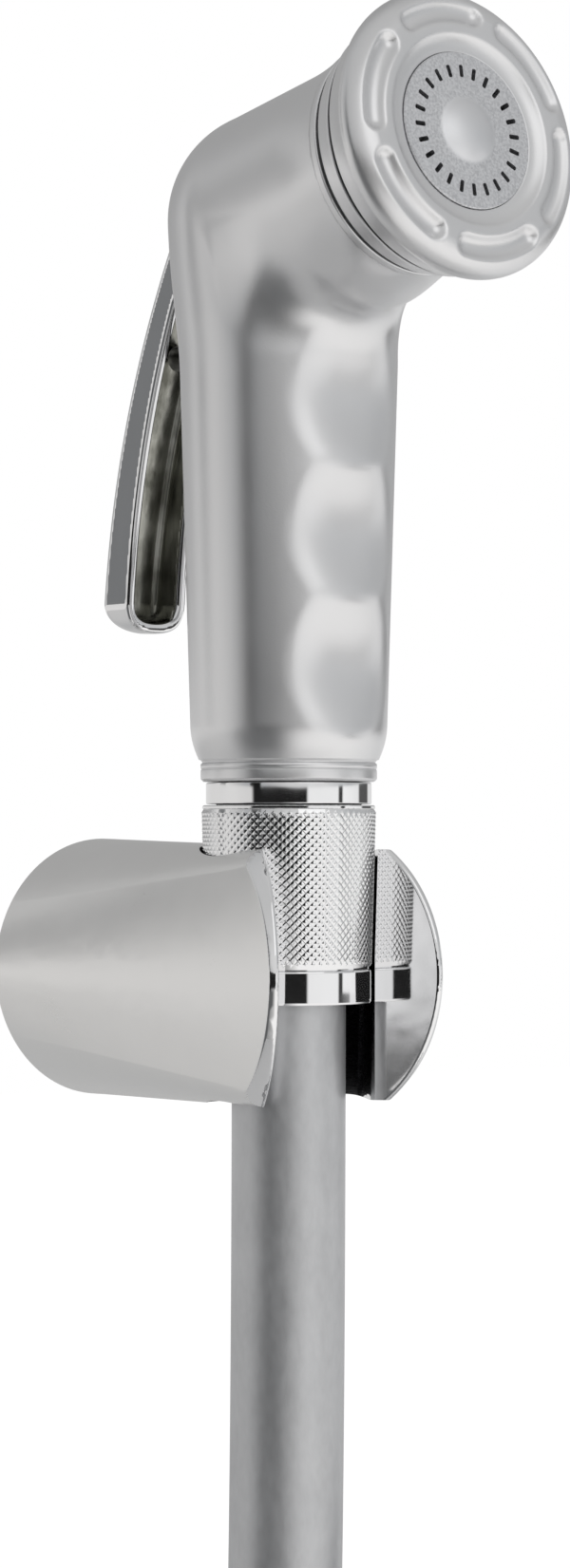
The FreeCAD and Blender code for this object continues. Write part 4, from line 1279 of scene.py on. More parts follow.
@dataclass
class Studio:
    """Camera, soft light and white surroundings."""

    azimuth: float = -38.0
    distance: float = 500.0
    eye_height: float = 18.3
    focal_px: float = 4000.0
    frame_px: Spot = (600.0, 1651.0)
    centre_px: Spot = (304.0, 880.0)
    white: Sequence[float] = (1.0, 1.0, 1.0, 1.0)
    matt_light: float = 0.8
    floor_z: float = -1000.0
    floor_size_m: float = 24.0
    floor_colour: Sequence[float] = (0.9, 0.9, 0.9, 1.0)
    floor_glow: float = 1.08
    floor_glow_share: float = 0.9
    tent_radius_m: float = 1.5
    lamp_place: Point = (-60.0, -700.0, 420.0)
    lamp_aim: Point = (0.0, AXIS_Y, 30.0)
    lamp_size: float = 500.0
    lamp_watts: float = 0.3

    def add_camera(self) -> None:
        """Place the camera where the photograph was taken from."""
        angle = math.radians(self.azimuth)
        data = bpy.data.cameras.new("camera")
        data.sensor_fit = "VERTICAL"
        data.sensor_height = 36.0
        data.lens = self.focal_px / self.frame_px[1] * data.sensor_height
        data.shift_x = (self.frame_px[0] / 2 - self.centre_px[0]) / self.frame_px[1]
        data.shift_y = (self.centre_px[1] - self.frame_px[1] / 2) / self.frame_px[1]
        data.clip_start = 0.01
        camera = bpy.data.objects.new("camera", data)
        bpy.context.collection.objects.link(camera)
        x = math.sin(angle) * self.distance
        y = AXIS_Y - math.cos(angle) * self.distance
        camera.location = (x * MM, y * MM, self.eye_height * MM)
        camera.rotation_euler = (math.radians(90), 0.0, angle)
        bpy.context.scene.camera = camera

    def add_world(self) -> None:
        """White surroundings for the camera, metal and glass, a little softer for matt surfaces."""
        world = bpy.data.worlds.new("studio")
        bpy.context.scene.world = world
        maker = MaterialMaker("studio", world)
        path = maker.node("ShaderNodeLightPath", output="Is Camera Ray")
        outputs = path.socket.node.outputs
        shiny = Field(maker, outputs["Is Glossy Ray"]) + Field(maker, outputs["Is Transmission Ray"])
        seen = maker.node("ShaderNodeClamp", {}, {0: path + shiny})
        strength = self.matt_light + (1.0 - self.matt_light) * seen
        maker.close(maker.node("ShaderNodeBackground", {}, {"Color": self.white, "Strength": strength}))

    def add_tent(self) -> None:
        """A light tent round the object, unseen by the camera, whose panels the chrome reflects."""
        bpy.ops.mesh.primitive_uv_sphere_add(segments=48, ring_count=24, radius=self.tent_radius_m)
        tent = bpy.context.object
        tent.name = "light_tent"
        tent.location = (0.0, AXIS_Y * MM, 0.0)
        maker = MaterialMaker("light_tent")
        split = maker.node("ShaderNodeSeparateXYZ", {}, {0: maker.place()})
        x, y, z = (Field(maker, output) for output in split.socket.node.outputs)
        compass = maker.node("ShaderNodeMath", {"operation": "ARCTAN2"}, {0: x, 1: 0.0 - y})
        offset = compass + math.radians(-self.azimuth)
        around = maker.node("ShaderNodeMath", {"operation": "WRAP"}, {0: offset, 1: math.pi, 2: -math.pi})
        ring = around / (2 * math.pi) + 0.5
        ramps = [maker.node("ShaderNodeValToRGB", {"stops": band.stops()}, {0: ring}) for band in BANDS]
        colour = ramps[0]
        for band, ramp in zip(BANDS[1:], ramps[1:]):
            low, high = (self.tent_radius_m * math.sin(math.radians(level)) for level in (band.start, band.full))
            colour = maker.mix(colour, ramp, maker.spread(z, low, high))
        tent.data.materials.append(maker.close(maker.node("ShaderNodeEmission", {}, {"Color": colour})))
        tent.visible_camera = False
        tent.visible_shadow = False

    def add_lamp(self) -> None:
        """A square soft lamp over the camera that faces the handset."""
        data = bpy.data.lights.new("key_lamp", "AREA")
        data.shape = "SQUARE"
        data.size = self.lamp_size * MM
        data.energy = self.lamp_watts
        lamp = bpy.data.objects.new("key_lamp", data)
        bpy.context.collection.objects.link(lamp)
        lamp.location = Vector(self.lamp_place) * MM
        aim = Vector(self.lamp_aim) - Vector(self.lamp_place)
        lamp.rotation_euler = aim.to_track_quat("-Z", "Y").to_euler()

    def add_floor(self) -> None:
        """A plain pale floor well below the hanging hose."""
        bpy.ops.mesh.primitive_plane_add(size=self.floor_size_m, location=(0.0, 0.0, self.floor_z * MM))
        floor = bpy.context.object
        floor.name = "floor"
        maker = MaterialMaker("floor")
        matte = maker.node("ShaderNodeBsdfDiffuse", {}, {"Color": self.floor_colour})
        glow = maker.node("ShaderNodeEmission", {}, {"Color": self.white, "Strength": self.floor_glow})
        camera = maker.node("ShaderNodeLightPath", output="Is Camera Ray")
        mixed = maker.node("ShaderNodeMixShader", {}, {0: self.floor_glow_share * camera, 1: matte, 2: glow})
        floor.data.materials.append(maker.close(mixed))

    def build(self) -> None:
        """Set up everything round the object."""
        self.add_camera()
        self.add_world()
        self.add_floor()
        self.add_tent()
        self.add_lamp()
        bpy.context.scene.view_settings.view_transform = "Standard"


# Handset


@dataclass
class HeadFrame:
    """Where the spray head's axis starts and how it is turned."""

    ball_y: float = -40.0
    ball_z: float = 99.5
    turn: float = 80.6

    def matrix(self) -> Matrix:
        """Frame of the head, in metres, with Z along the spray."""
        place = Matrix.Translation((0.0, self.ball_y * MM, self.ball_z * MM))
        return place @ Matrix.Rotation(math.radians(self.turn), 4, "X")

    def along(self, height: float) -> Vector:
        """Place on the axis, in metres.

        Args:
            height: millimetres in front of the ball's middle.

        Returns:
            The place.
        """
        return self.matrix() @ Vector((0.0, 0.0, height * MM))

    def way(self) -> Vector:
        """Direction of the spray."""
        return self.matrix().to_3x3() @ Vector((0.0, 0.0, 1.0))


@dataclass
class HandsetShell:
    """The cast handset: handle with finger dents, rounded neck, head barrel, lip ring and bores."""

    finishes: Finishes
    head: HeadFrame = field(default_factory=HeadFrame)
    lip_radius: float = 11.6
    lip_height: float = 2.9
    lip_core: float = 6.0
    lip_line: Sequence[Spot] = ((-0.35, 0.0), (0.0, 0.35), (0.0, 1.5), (-0.16, 1.62), (0.0, 1.74), (0.0, 2.3),
                                (-0.2, 2.44), (-0.2, 2.6), (0.12, 2.9), (0.1, 3.1))
    chamfer_start: Spot = (0.1, 2.5)
    chamfer_slope: float = 0.41
    chamfer_blend: float = 0.7
    shoulder: Spot = (12.9, 5.4)
    neck: Spot = (14.5, 60.0)
    neck_fade: float = 14.0
    lean_start: float = 54.0
    ball_radius: float = 14.4
    ball_back: float = 2.5
    ball_height: float = 74.1
    flare_start: float = 18.5
    flare: Tuple[float, float] = (0.0038, 0.0113)
    seam: float = 27.95
    seam_edge: float = 0.32
    end_length: float = 1.4
    end_overlap: float = 1.1
    end_bore: float = 11.0
    spigot_radius: float = 12.5
    spigot_end: float = 36.0
    dent_first: float = 14.9
    dent_pitch: float = 17.2
    dent_depth: float = 1.7
    dent_curve: float = 17.0
    dent_blend: float = 1.8
    neck_blend: float = 6.0
    neck_curve: float = 17.0
    neck_least: float = 0.15
    crease_fade: float = 4.0
    crease_share: float = 0.55
    crease_span: Tuple[float, float] = (0.45, 0.6)
    chin: float = 0.15
    chin_rise: float = 8.0
    chin_fall: Tuple[float, float] = (18.0, 9.0)
    rough_radii: Tuple[float, float] = (12.4, 14.4)
    rough_foot: float = 3.0
    rough_barrel: Tuple[float, float] = (0.3, 32.0)
    passes: Sequence[Tuple[float, int]] = ((2.2, 6), (1.0, 5))
    skin: float = 0.45
    slot_low: Point = (-5.35, 8.55, 65.2)
    slot_high: Point = (5.35, 24.5, 75.8)
    pin_hole: Tuple[float, float] = (1.28, 28.6)
    pin_place: Point = (-8.6, 12.5, 70.0)

    def barrel_radius(self, along: Any) -> Any:
        """Radius of the head's barrel.

        Args:
            along: millimetres in front of the ball's middle.

        Returns:
            The radius.
        """
        ahead = np.maximum(along - self.flare_start, 0)
        return self.ball_radius + self.flare[0] * ahead + self.flare[1] * ahead ** 2

    def outside(self, places: np.ndarray) -> np.ndarray:
        """Signed distance to the handset's outside.

        Args:
            places: one row for each place, in millimetres.

        Returns:
            The distances.
        """
        x, y, z = handle_places(places)
        chamfer = self.lip_radius + self.chamfer_start[0] + self.chamfer_slope * (z - self.chamfer_start[1])
        rise = (self.neck[0] - self.shoulder[0]) / (self.neck[1] - self.shoulder[1])
        wall = np.minimum(self.shoulder[0] + rise * (z - self.shoulder[1]), self.neck[0])
        radius = smooth_min(chamfer, wall, self.chamfer_blend)
        radius = radius - (self.neck[0] - self.ball_radius) * smooth_step((z - self.neck[1]) / self.neck_fade)
        lean = self.ball_back * smooth_step((z - self.lean_start) / (self.ball_height - self.lean_start))
        over = np.maximum(z - self.ball_height, 0)
        handle = np.sqrt(x * x + (y - lean) ** 2 + over * over) - radius
        for number in range(3):
            height = self.dent_first + self.dent_pitch * number
            front = self.shoulder[0] + rise * (height - self.shoulder[1])
            tool = np.hypot(y - (self.dent_depth - front - self.dent_curve), z - height) - self.dent_curve
            handle = smooth_max(handle, -tool, self.dent_blend)
        tilt = math.radians(self.head.turn)
        dy, dz = y - self.ball_back, z - self.ball_height
        along = dz * math.cos(tilt) - dy * math.sin(tilt)
        across = dy * math.cos(tilt) + dz * math.sin(tilt)
        fall, fall_length = self.chin_fall
        chin = self.chin * smooth_step(along / self.chin_rise) * (1.0 - smooth_step((along - fall) / fall_length))
        squeezed = across * np.where(across < 0, 1.0 - chin, 1.0)
        barrel = np.hypot(x, squeezed) - self.barrel_radius(along)
        ball = np.sqrt(x * x + dy * dy + dz * dz) - self.ball_radius
        alike = (x * x + (y - lean) * across * math.cos(tilt))
        alike = alike / np.maximum(np.hypot(x, y - lean) * np.hypot(x, across), TINY)
        fade = smooth_step(along / self.crease_fade) * smooth_step(-across / self.crease_fade)
        crease = np.clip(1.0 - alike, 0.0, 1.0) * fade
        start, length = self.crease_span
        limit = self.neck_blend * (1.0 - self.crease_share * smooth_step((crease - start) / length))
        width = self.neck_least + smooth_min(self.neck_curve * crease, limit, 1.0).clip(0.0)
        return smooth_min(handle, np.where(along < 0, ball, barrel), width)

    def rough(self) -> bpy.types.Object:
        """Cone, ball and barrel joined into one even skin.

        Returns:
            The skin, drawn onto the outside's form.
        """
        low = HANDLE_Z - self.rough_foot
        high = HANDLE_Z + self.ball_height
        foot, top = (radius * MM for radius in self.rough_radii)
        deselect_all()
        bpy.ops.mesh.primitive_cone_add(vertices=64, radius1=foot, radius2=top, depth=(high - low) * MM,
                                        location=(0.0, AXIS_Y * MM, (high + low) / 2 * MM))
        handle = bpy.context.object
        pick(handle)
        bpy.ops.object.transform_apply(location=True)
        deselect_all()
        bpy.ops.mesh.primitive_uv_sphere_add(segments=48, ring_count=24, radius=self.ball_radius * MM)
        ball = bpy.context.object
        ball.data.transform(self.head.matrix())
        barrel = rod(self.ball_radius + self.rough_barrel[0], self.rough_barrel[1], self.head.matrix(), 64)
        shell = join(handle, ball, barrel)
        shell.name = "handset_shell"
        for reach, rounds in self.passes:
            remesh(shell, self.skin)
            settle(shell, self.outside, reach, rounds)
        return shell

    def lip_ring(self) -> bpy.types.Object:
        """Lip at the handle's foot with two fine turned lines, and the core that it stands on.

        Returns:
            The closed ring, in place.
        """
        line = [(self.lip_radius + out, height) for out, height in self.lip_line]
        profile = [(self.lip_core, line[0][1]), *line, (self.lip_core, line[-1][1])]
        return to_axis(turned("lip_ring", profile, 0.05, 120, 1), HANDLE_Z)

    def barrel_end(self) -> bpy.types.Object:
        """Turned end of the barrel, with a soft edge at the seam.

        Returns:
            The closed end, in place.
        """
        start = self.seam - self.end_length
        back = start - self.end_overlap
        profile = [(self.end_bore, back), (float(self.barrel_radius(back)) - 0.5, back)]
        for height in np.linspace(start, self.seam, 5):
            profile.append((float(self.barrel_radius(height)) + 0.02, float(height)))
        profile.append((self.end_bore, self.seam))
        end = turned("barrel_end", profile, self.seam_edge, 144, 3, corner=40.0)
        end.data.transform(self.head.matrix())
        return end

    def spigot(self) -> bpy.types.Object:
        """Spigot in front of the barrel that carries the trim ring and the face cap.

        Returns:
            The closed spigot, in place.
        """
        back = self.seam - 1.5
        profile = [(self.lip_core, back), (self.spigot_radius, back), (self.spigot_radius, self.spigot_end),
                   (self.lip_core, self.spigot_end)]
        spigot = turned("head_spigot", profile, 0.3, 96)
        spigot.data.transform(self.head.matrix())
        return spigot

    def bores(self) -> List[bpy.types.Object]:
        """Cutters for socket, waterways, valve bore, head room, lever slot and pin hole.

        Returns:
            The cutters, in place.
        """
        handle = Matrix.Translation((0.0, AXIS_Y * MM, HANDLE_Z * MM))
        head = self.head.matrix()
        along = Matrix()
        back = Matrix.Rotation(math.radians(-90), 4, "X")
        across = Matrix.Rotation(math.radians(90), 4, "Y")
        rods = (
            (handle, (0.0, 0.0, -1.0), along, 9.0, 13.0, 72),
            (handle, (0.0, 0.0, 11.0), along, 6.0, 35.0, 48),
            (handle, (0.0, -7.0, 45.0), along, 2.5, 13.0, 24),
            (handle, (0.0, -11.0, 58.0), back, 4.6, 11.0, 48),
            (handle, (0.0, -2.0, 58.0), back, 6.5, 15.0, 72),
            (handle, (0.0, 13.0, 58.0), back, 6.5, 10.0, 72),
            (handle, (0.0, 2.6, 58.0), along, 2.5, 16.1, 24),
            (head, (0.0, 0.0, 0.0), along, 6.0, 33.4, 48),
            (head, (0.0, 0.0, 14.5), along, 10.0, 21.5, 72),
            (head, (0.0, 0.0, 33.4), along, 10.5, 3.6, 72),
            (handle, self.pin_place, across, *self.pin_hole, 32),
        )
        tools = []
        for base, place, turn, radius, length, steps in rods:
            shift = Matrix.Translation([part * MM for part in place])
            tools.append(rod(radius, length, base @ shift @ turn, steps))
        origin = (0.0, AXIS_Y, HANDLE_Z)
        corners = [tuple(start + part for start, part in zip(origin, corner)) for corner in
                   (self.slot_low, self.slot_high)]
        tools.insert(-1, block(*corners))
        return tools

    def build(self) -> None:
        """Make the whole shell."""
        shell = self.rough()
        cut_flat(shell, Vector((0.0, AXIS_Y, HANDLE_Z + self.lip_height)) * MM, Vector((0.0, 0.0, 1.0)))
        cut_flat(shell, self.head.along(self.seam - self.end_length), -self.head.way())
        for piece in (self.lip_ring(), self.barrel_end(), self.spigot()):
            combine(shell, piece, "UNION")
        for tool in self.bores():
            combine(shell, tool, "DIFFERENCE")
        finish_normals(shell, 40.0, recalculate=False, weighted=False)
        install(shell, self.finishes, Slot.SATIN_CHROME, Body.HANDSET, "handset_body")


@dataclass
class TrimRing:
    """Flared ring between the barrel and the face cap."""

    finishes: Finishes
    head: HeadFrame = field(default_factory=HeadFrame)
    bore: float = 12.55
    back: Spot = (15.58, 28.7)
    front: Spot = (16.78, 32.15)

    def build(self) -> None:
        """Make the ring."""
        skirt = arc(self.back, self.front, -28.0, 6)
        profile = [(self.bore, self.back[1]), self.back] + skirt + [(self.bore, self.front[1])]
        ring = turned("trim_ring", profile, 0.35, 144, 3, corner=40.0)
        ring.data.transform(self.head.matrix())
        install(ring, self.finishes, Slot.SATIN_CHROME, Body.HANDSET, "head_trim_ring")


@dataclass
class FaceCap:
    """Screwed cap: flared skirt, round rim, domed ring with six finger recesses, dished front."""

    finishes: Finishes
    head: HeadFrame = field(default_factory=HeadFrame)
    bore: float = 12.58
    skirt_low: Spot = (16.9, 32.7)
    rim: Spot = (18.38, 36.4)
    rim_front: Spot = (18.0, 38.2)
    crest: Spot = (15.3, 39.7)
    dish: Spot = (12.5, 39.65)
    window: Spot = (10.1, 38.85)
    ledge: float = 38.0
    grip_count: int = 6
    grip_start: float = 11.0
    grip_span: float = 40.0
    grip_ring: float = 15.3
    grip_radius: float = 1.7
    grip_height: float = 40.4
    grip_lip: float = 0.4
    grip_deepest: float = 1.6

    def groove(self, places: np.ndarray) -> np.ndarray:
        """Signed distance to the nearest finger recess's tool, in the head's own frame.

        Args:
            places: one row for each place.

        Returns:
            The distances.
        """
        around = np.degrees(np.arctan2(places[:, 1], places[:, 0]))
        pitch = 360 / self.grip_count
        off = (around - 90 - self.grip_start + pitch / 2) % pitch - pitch / 2
        turn = np.radians(np.maximum(np.abs(off) - self.grip_span / 2, 0.0))
        radius = np.hypot(places[:, 0], places[:, 1])
        side = radius * np.sin(turn)
        reach = radius * np.cos(turn) - self.grip_ring
        return np.sqrt(side * side + reach * reach + (places[:, 2] - self.grip_height) ** 2) - self.grip_radius

    def build(self) -> None:
        """Make the cap."""
        points = [(self.bore, self.skirt_low[1]), self.skirt_low]
        for end, radius, count in ((self.rim, -14.0, 10), (self.rim_front, 1.7, 8), (self.crest, 4.5, 16),
                                   (self.dish, 40.0, 14), (self.window, -4.0, 8)):
            points += arc(points[-1], end, radius, count)
        points += [(self.window[0], self.ledge), (self.bore, self.ledge)]
        cap = turned("face_cap_skin", points, 0.22, 360, 2, corner=40.0)
        carve(cap, self.groove, self.grip_lip, self.grip_deepest)
        cap.data.transform(self.head.matrix())
        finish_normals(cap, 50.0, weighted=False)
        install(cap, self.finishes, Slot.SATIN_CHROME, Body.CAP, "face_cap")


@dataclass
class SprayPlate:
    """Blasted plate with a ring of slots and a smooth dome."""

    finishes: Finishes
    head: HeadFrame = field(default_factory=HeadFrame)
    back: float = 37.05
    flange: Spot = (12.2, 37.95)
    edge: float = 10.08
    face: float = 39.1
    chamfer: float = 0.12
    dome: Spot = (4.3, 1.1)
    dome_step: Tuple[float, float] = (0.35, 0.1)
    slot_count: int = 24
    slot_ring: float = 7.65
    slot_size: Tuple[float, float] = (1.6, 0.6)
    slot_reach: Tuple[float, float] = (30.0, 45.0)
    slot_corner: float = 0.2

    def slots(self) -> bpy.types.Object:
        """Cutter with all slots.

        Returns:
            The cutter, round the head's axis.
        """
        length, width = (size / 2 for size in self.slot_size)
        low, high = self.slot_reach
        first = block((self.slot_ring - length, -width, low), (self.slot_ring + length, width, high))
        with editing(first, "EDGE", rising_edges(first)):
            bevel(self.slot_corner, 3)
        copies = [first]
        for number in range(1, self.slot_count):
            copy = first.copy()
            copy.data = first.data.copy()
            bpy.context.collection.objects.link(copy)
            copy.data.transform(Matrix.Rotation(2 * math.pi * number / self.slot_count, 4, "Z"))
            copies.append(copy)
        return join(*copies)

    def build(self) -> None:
        """Make the plate."""
        radius, height = self.dome
        out, up = self.dome_step
        curve = (radius * radius / height + height) / 2
        points = [(0.0, self.back), (self.flange[0], self.back), self.flange, (self.edge, self.flange[1]),
                  (self.edge, self.face - self.chamfer), (self.edge - self.chamfer, self.face),
                  (self.slot_ring, self.face), (radius + out, self.face), (radius - up, self.face + up)]
        points += arc(points[-1], (0.001, self.face + height), curve, 10)[:-1] + [(0.0, self.face + height)]
        plate = turned("spray_face", points, 0.0, 96, closed=False)
        combine(plate, self.slots(), "DIFFERENCE")
        plate.data.transform(self.head.matrix())
        finish_normals(plate, 30.0, recalculate=False)
        plate.data.materials.clear()
        plate.data.materials.append(self.finishes.blasted)
        install(plate, self.finishes, Slot.SATIN_CHROME, Body.CAP, "spray_plate")


@dataclass
class Lever:
    """Polished squeeze lever: a bent channel with round rims, ears on the pin and a round tip."""

    finishes: Finishes
    frame: Dict[str, Any]
    pivot: Spot = (12.5, 70.0)
    hub: float = 3.6
    hole: float = 1.31
    half_width: float = 5.0
    wall: float = 1.5
    curve: float = 118.0
    back_centre: Spot = (-81.48, 13.13)
    rim_centre: Spot = (-88.23, 15.47)
    top: Spot = (19.0, 75.0)
    tip_z: float = 20.6
    tip_curve: float = 4.6
    tip_drop: float = 0.7
    edge: float = 1.5
    inner_edge: float = 1.2
    inner_rim: float = 0.9
    rim: float = 0.6
    neck_blend: float = 2.0
    hub_blend: float = 0.3
    hole_edge: float = 0.15
    skin: float = 0.32
    reach: float = 1.2
    rounds: int = 7
    hollow_near: float = 0.3
    hollow_start: float = 0.9

    def walls(self, places: np.ndarray, inset: float, edge: float) -> np.ndarray:
        """Signed distance to the lever's back, sides and tip, left open towards the handle.

        Args:
            places: one row for each place, in millimetres.
            inset: how far inside the outer face.
            edge: rounding between back and sides.

        Returns:
            The distances.
        """
        x, y, z = handle_places(places)
        back = np.hypot(y - self.back_centre[0], z - self.back_centre[1]) - self.curve + inset
        side = round_max(back, self.tip_z + inset - z, max(self.tip_curve - inset, 0.1))
        centre = self.tip_z + self.half_width - self.tip_drop
        face = np.hypot(x, np.minimum(z - centre, 0.0)) - self.half_width + inset
        return round_max(side, face, edge)

    def front(self, places: np.ndarray) -> np.ndarray:
        """Signed distance to the curve of the lever's rims, negative behind them.

        Args:
            places: one row for each place, in millimetres.

        Returns:
            The distances.
        """
        _, y, z = handle_places(places)
        return self.curve - np.hypot(y - self.rim_centre[0], z - self.rim_centre[1])

    def form(self, places: np.ndarray) -> np.ndarray:
        """Signed distance to the whole lever.

        Args:
            places: one row for each place, in millimetres.

        Returns:
            The distances.
        """
        _, y, z = handle_places(places)
        slope = (self.top[1] - self.pivot[1] - self.hub) / (self.top[0] - self.pivot[0])
        roof = (z - self.pivot[1] - self.hub - slope * (y - self.pivot[0])) / math.hypot(1.0, slope)
        neck = np.maximum(np.maximum(self.pivot[0] - y, self.pivot[1] - self.hub - z), roof)
        from_pin = np.hypot(y - self.pivot[0], z - self.pivot[1])
        reach = smooth_min(np.maximum(self.front(places), roof), neck, self.neck_blend)
        reach = smooth_min(reach, from_pin - self.hub, self.hub_blend)
        solid = round_max(self.walls(places, 0.0, self.edge), reach, self.rim)
        solid = smooth_max(solid, -self.walls(places, self.wall, self.inner_edge), self.inner_rim)
        return smooth_max(solid, self.hole - from_pin, self.hole_edge)

    def build(self) -> None:
        """Make the lever: its node's form as one even skin, drawn onto the softened form."""
        lever = fine_copy(self.frame, "lever", "squeeze_lever")
        remesh(lever, self.skin)
        settle(lever, self.form, self.reach, self.rounds)
        true_normals(lever, self.form)
        self.finishes.dress(lever, Slot.BRIGHT_CHROME, self.finishes.painted_channel_shade)
        # Faces inside the channel take the darker streaked chrome: painted shade and painted dark reflection
        # inside the channel.
        centres = np.array([face.center for face in lever.data.polygons]) / MM
        hollow = np.abs(self.walls(centres, self.wall, self.inner_edge)) < self.hollow_near
        for face, inside in zip(lever.data.polygons, hollow & (self.front(centres) < -self.hollow_start)):
            face.material_index = int(inside)
        install(lever, self.finishes, Slot.BRIGHT_CHROME, Body.LEVER, "lever")


@dataclass
class Bracket:
    """Cast bracket: satin outside, polished fork faces, and a seat darkened with painted shade."""

    finishes: Finishes
    frame: Dict[str, Any]
    edge: float = 0.45
    seat_radius: float = 13.5
    seat_start: float = -1.0
    fork_end: float = 12.0
    nose_end: float = -4.0
    inward_slope: float = 0.05
    ahead_slope: float = 0.25

    def finish_of(self, face: bpy.types.MeshPolygon) -> int:
        """Choose a face's finish.

        Args:
            face: the face.

        Returns:
            Number of its material: satin, polished, or the seat's dark painted shade.
        """
        x, y = face.center.x / MM, face.center.y / MM - AXIS_Y
        normal = face.normal
        facing = normal.x * x + normal.y * y < 0
        # Faces of the seat that face the nut take a near-black finish: painted shade for the recess.
        if facing and y > self.seat_start and math.hypot(x, y) < self.seat_radius:
            return 2
        inward = normal.x * x < -self.inward_slope * abs(x) and y < self.fork_end
        ahead = normal.y < -self.ahead_slope and y < self.nose_end
        return int(inward or ahead)

    def build(self) -> None:
        """Make the bracket from its node's own form."""
        bracket = fine_copy(self.frame, "bracket", "bracket_skin")
        flatten_faces(bracket, 0.5)
        soften_sharp(bracket, self.edge, 35.0, 4)
        polished = self.finishes.by_slot[Slot.BRIGHT_CHROME]
        for finish in (self.finishes.cast_satin, polished, self.finishes.painted_seat_shade):
            bracket.data.materials.append(finish)
        for face in bracket.data.polygons:
            face.material_index = self.finish_of(face)
        install(bracket, self.finishes, Slot.SATIN_CHROME, Body.HOLDER, "bracket")


# Hose nut and inlet


@dataclass
class HoseNut:
    """Slightly tapered nut with a diamond knurl, a plain foot ring and a stepped bore."""

    finishes: Finishes
    foot_z: float = -3.7
    length: float = 26.0
    top_radius: float = 11.5
    foot_radius: float = 10.9
    ring: float = 4.5
    skirt_bore: float = 8.9
    thread_bore: float = 10.5
    shoulder: float = 11.0
    around: int = 68
    rows: int = 19
    tooth: float = 0.24
    land: float = 0.26
    top_land: float = 0.55
    neck: float = 0.35
    edge: float = 0.4
    merge: float = 0.01

    def knurl_ends(self) -> Tuple[Spot, Spot]:
        """Lower and upper end of the knurl's ground, as radius and height.

        Returns:
            Both ends, the lower one first.
        """
        slope = (self.top_radius - self.foot_radius) / (self.length - self.ring)
        low = (self.foot_radius + slope * self.neck - self.tooth, self.ring + self.neck)
        high = (self.top_radius - slope * self.top_land - self.tooth, self.length - self.top_land)
        return low, high

    def knurled_sleeve(self) -> bpy.types.Object:
        """Sleeve of blunt pyramids: a grid is poked, its old edges dissolved and every diamond raised.

        Returns:
            The sleeve, open at both ends.
        """
        (low_radius, low), (high_radius, high) = self.knurl_ends()
        deselect_all()
        bpy.ops.mesh.primitive_cone_add(vertices=self.around, radius1=low_radius * MM, radius2=high_radius * MM,
                                        depth=(high - low) * MM, end_fill_type="NOTHING", location=(0, 0, 0))
        sleeve = bpy.context.object
        sleeve.name = "hose_nut_skin"
        sleeve.data.transform(Matrix.Translation((0.0, 0.0, (high + low) / 2 * MM)))
        with editing(sleeve, "EDGE", rising_edges(sleeve)):
            bpy.ops.mesh.subdivide(number_cuts=self.rows - 1)
        grid = len(sleeve.data.vertices)
        with editing(sleeve, "FACE", [True] * len(sleeve.data.polygons)):
            bpy.ops.mesh.poke(offset=0.0)
        ends = edge_ends(sleeve)
        heights = corners_of(sleeve)[:, 2][ends]
        on_rim = np.zeros(len(ends), dtype=bool)
        for rim in (low, high):
            on_rim |= (np.abs(heights - rim) < RIM_REACH).all(axis=1)
        with editing(sleeve, "EDGE", (ends.max(axis=1) < grid) & ~on_rim):
            bpy.ops.mesh.dissolve_edges(use_verts=False)
        diamonds = [len(face.vertices) == 4 for face in sleeve.data.polygons]
        with editing(sleeve, "FACE", diamonds):
            bpy.ops.mesh.inset(use_individual=True, thickness=self.land * MM, depth=self.tooth * MM)
        return sleeve

    def body(self) -> bpy.types.Object:
        """Everything but the knurl, turned in one way round from the knurl's top edge to its foot.

        Returns:
            The body, open where the sleeve goes.
        """
        foot, top = self.knurl_ends()
        edge = self.edge
        profile = [
            top,
            (self.top_radius - 0.12, self.length - 0.42), (self.top_radius - 0.12, self.length - 0.16),
            (self.top_radius - 0.3, self.length), (self.thread_bore + 0.3, self.length),
            (self.thread_bore, self.length - 0.3), (self.thread_bore, self.shoulder),
            (self.skirt_bore, self.shoulder), (self.skirt_bore, edge), (self.skirt_bore + 0.3, 0.0),
            (self.foot_radius - edge, 0.0), (self.foot_radius - 0.1, 0.12), (self.foot_radius, edge),
            (self.foot_radius, self.ring - 0.3), (self.foot_radius - 0.08, self.ring - 0.08),
            (self.foot_radius - 0.35, self.ring), (foot[0], self.ring + 0.06), foot,
        ]
        return turned("nut_body", profile, 0.0, self.around, closed=False)

    def build(self) -> None:
        """Make the nut."""
        nut = join(self.knurled_sleeve(), self.body())
        with editing(nut):
            bpy.ops.mesh.remove_doubles(threshold=self.merge * MM)
        to_axis(nut, self.foot_z)
        finish_normals(nut, 20.0)
        install(nut, self.finishes, Slot.BRIGHT_CHROME, Body.NUT, "hose_nut")


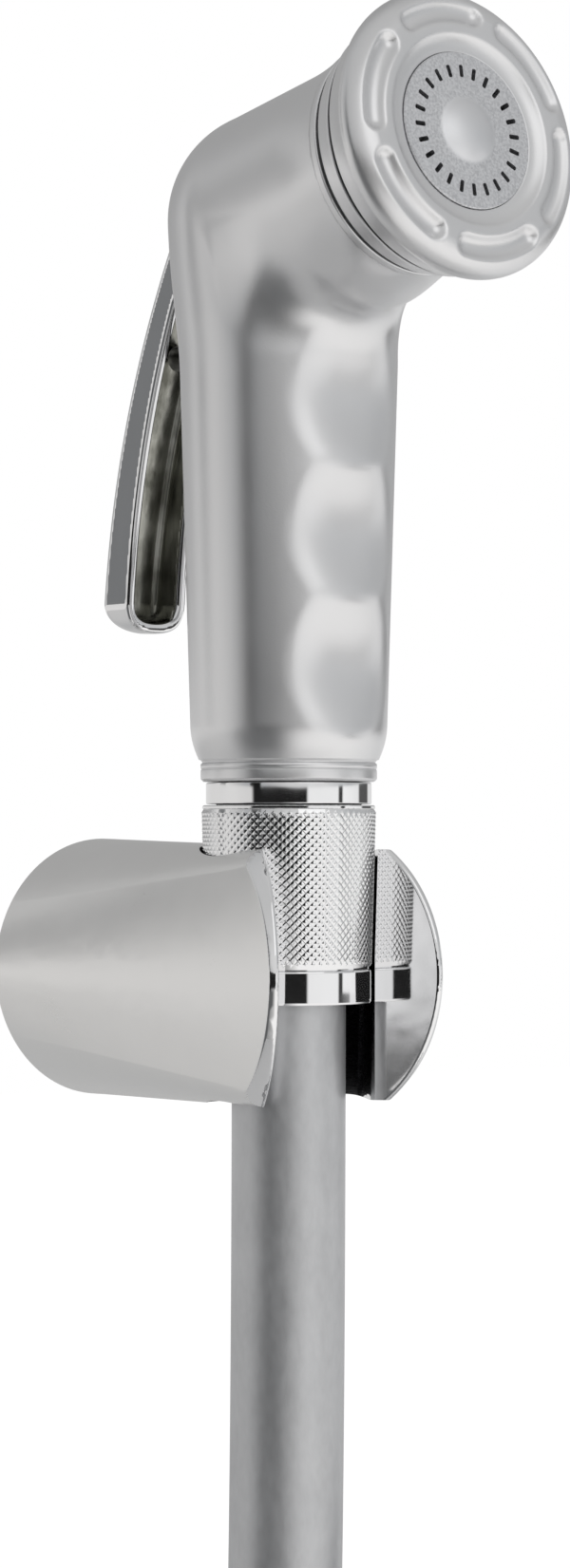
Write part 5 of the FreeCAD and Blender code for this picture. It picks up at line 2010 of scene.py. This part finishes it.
@dataclass
class Inlet:
    """Inlet connector: thread up into the handle, bright collar, thread down into the nut."""

    finishes: Finishes
    collar_z: float = 22.45
    bore: float = 6.0
    thread_radius: float = 10.42
    thread_length: float = 11.5
    collar: Spot = (10.9, 2.8)
    spigot_radius: float = 8.95
    spigot_top: float = 12.95
    pitch: float = 1.8
    thread_depth: float = 0.9

    def threaded(self, outer: float, low: float, high: float) -> List[Spot]:
        """Rings of a thread's crests and roots.

        Args:
            outer: radius of the crests.
            low: start height.
            high: end height.

        Returns:
            Profile points upwards.
        """
        points = []
        height = low
        while height + self.pitch < high:
            points += [(outer - self.thread_depth, height), (outer, height + self.pitch * 0.4),
                       (outer, height + self.pitch * 0.6)]
            height += self.pitch
        return points + [(outer - self.thread_depth, height)]

    def build(self) -> None:
        """Make the connector."""
        radius, height = self.collar
        points = [(self.bore, -self.thread_length), (self.thread_radius - 1.2, -self.thread_length)]
        points += self.threaded(self.thread_radius, 0.3 - self.thread_length, -0.6)
        points += [(self.thread_radius - 0.9, 0.0), (radius, 0.0), (radius, height)]
        points += [(self.spigot_radius - 0.6, height)]
        points += self.threaded(self.spigot_radius, height + 0.8, self.spigot_top - 0.2)
        points += [(self.spigot_radius - 0.9, self.spigot_top), (self.bore, self.spigot_top)]
        connector = to_axis(turned("inlet_skin", points, 0.16, 96, 2, corner=75.0), self.collar_z)
        install(connector, self.finishes, Slot.BRIGHT_CHROME, Body.HANDSET, "inlet_connector")


@dataclass
class ReturnSpring:
    """Valve spring between its seat and the disc, left on no body."""

    finishes: Finishes
    frame: Dict[str, Any]

    def build(self) -> None:
        """Make the spring from its node's own form."""
        spring = fine_copy(self.frame, "valve_spring", "return_spring", 60.0)
        places = corners_of(spring) * MM
        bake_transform(spring)
        install(spring, self.finishes, Slot.STEEL, None, "valve_spring")


# Assembly


PLAIN_NODES: Dict[Slot, Tuple[str, ...]] = {
    Slot.ZINC: ("wall_plate",),
    Slot.STEEL: ("bracket_grub_screw", "lever_pin", "hose_ferrule", "end_ferrule", "valve_stem"),
    Slot.WHITE_PLASTIC: ("flow_disc",),
    Slot.RUBBER: ("connector_o_ring", "gland_o_ring", "hose_washer", "end_washer", "valve_disc", "cap_gasket"),
    Slot.BRASS: ("valve_seat", "hose_nipple", "end_nipple"),
    Slot.BRIGHT_CHROME: ("valve_gland", "end_nut"),
    Slot.STRAP: ("coil_tie",),
}


def main() -> None:
    """Load the frame and build every piece."""
    logging.basicConfig(level=logging.INFO, format="%(name)s: %(message)s")
    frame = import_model()
    bpy.ops.object.select_all(action="DESELECT")
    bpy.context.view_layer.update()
    Studio().build()
    finishes = Finishes()
    for slot, names in PLAIN_NODES.items():
        for name in names:
            finishes.dress(frame["nodes"][name], slot)
            LOG.info("dressed %s", name)
    for piece in (Hose(finishes), Bracket(finishes, frame), HandsetShell(finishes), TrimRing(finishes),
                  FaceCap(finishes), SprayPlate(finishes), Lever(finishes, frame), HoseNut(finishes),
                  Inlet(finishes), ReturnSpring(finishes, frame)):
        piece.build()


if __name__ == "__main__":
    main()
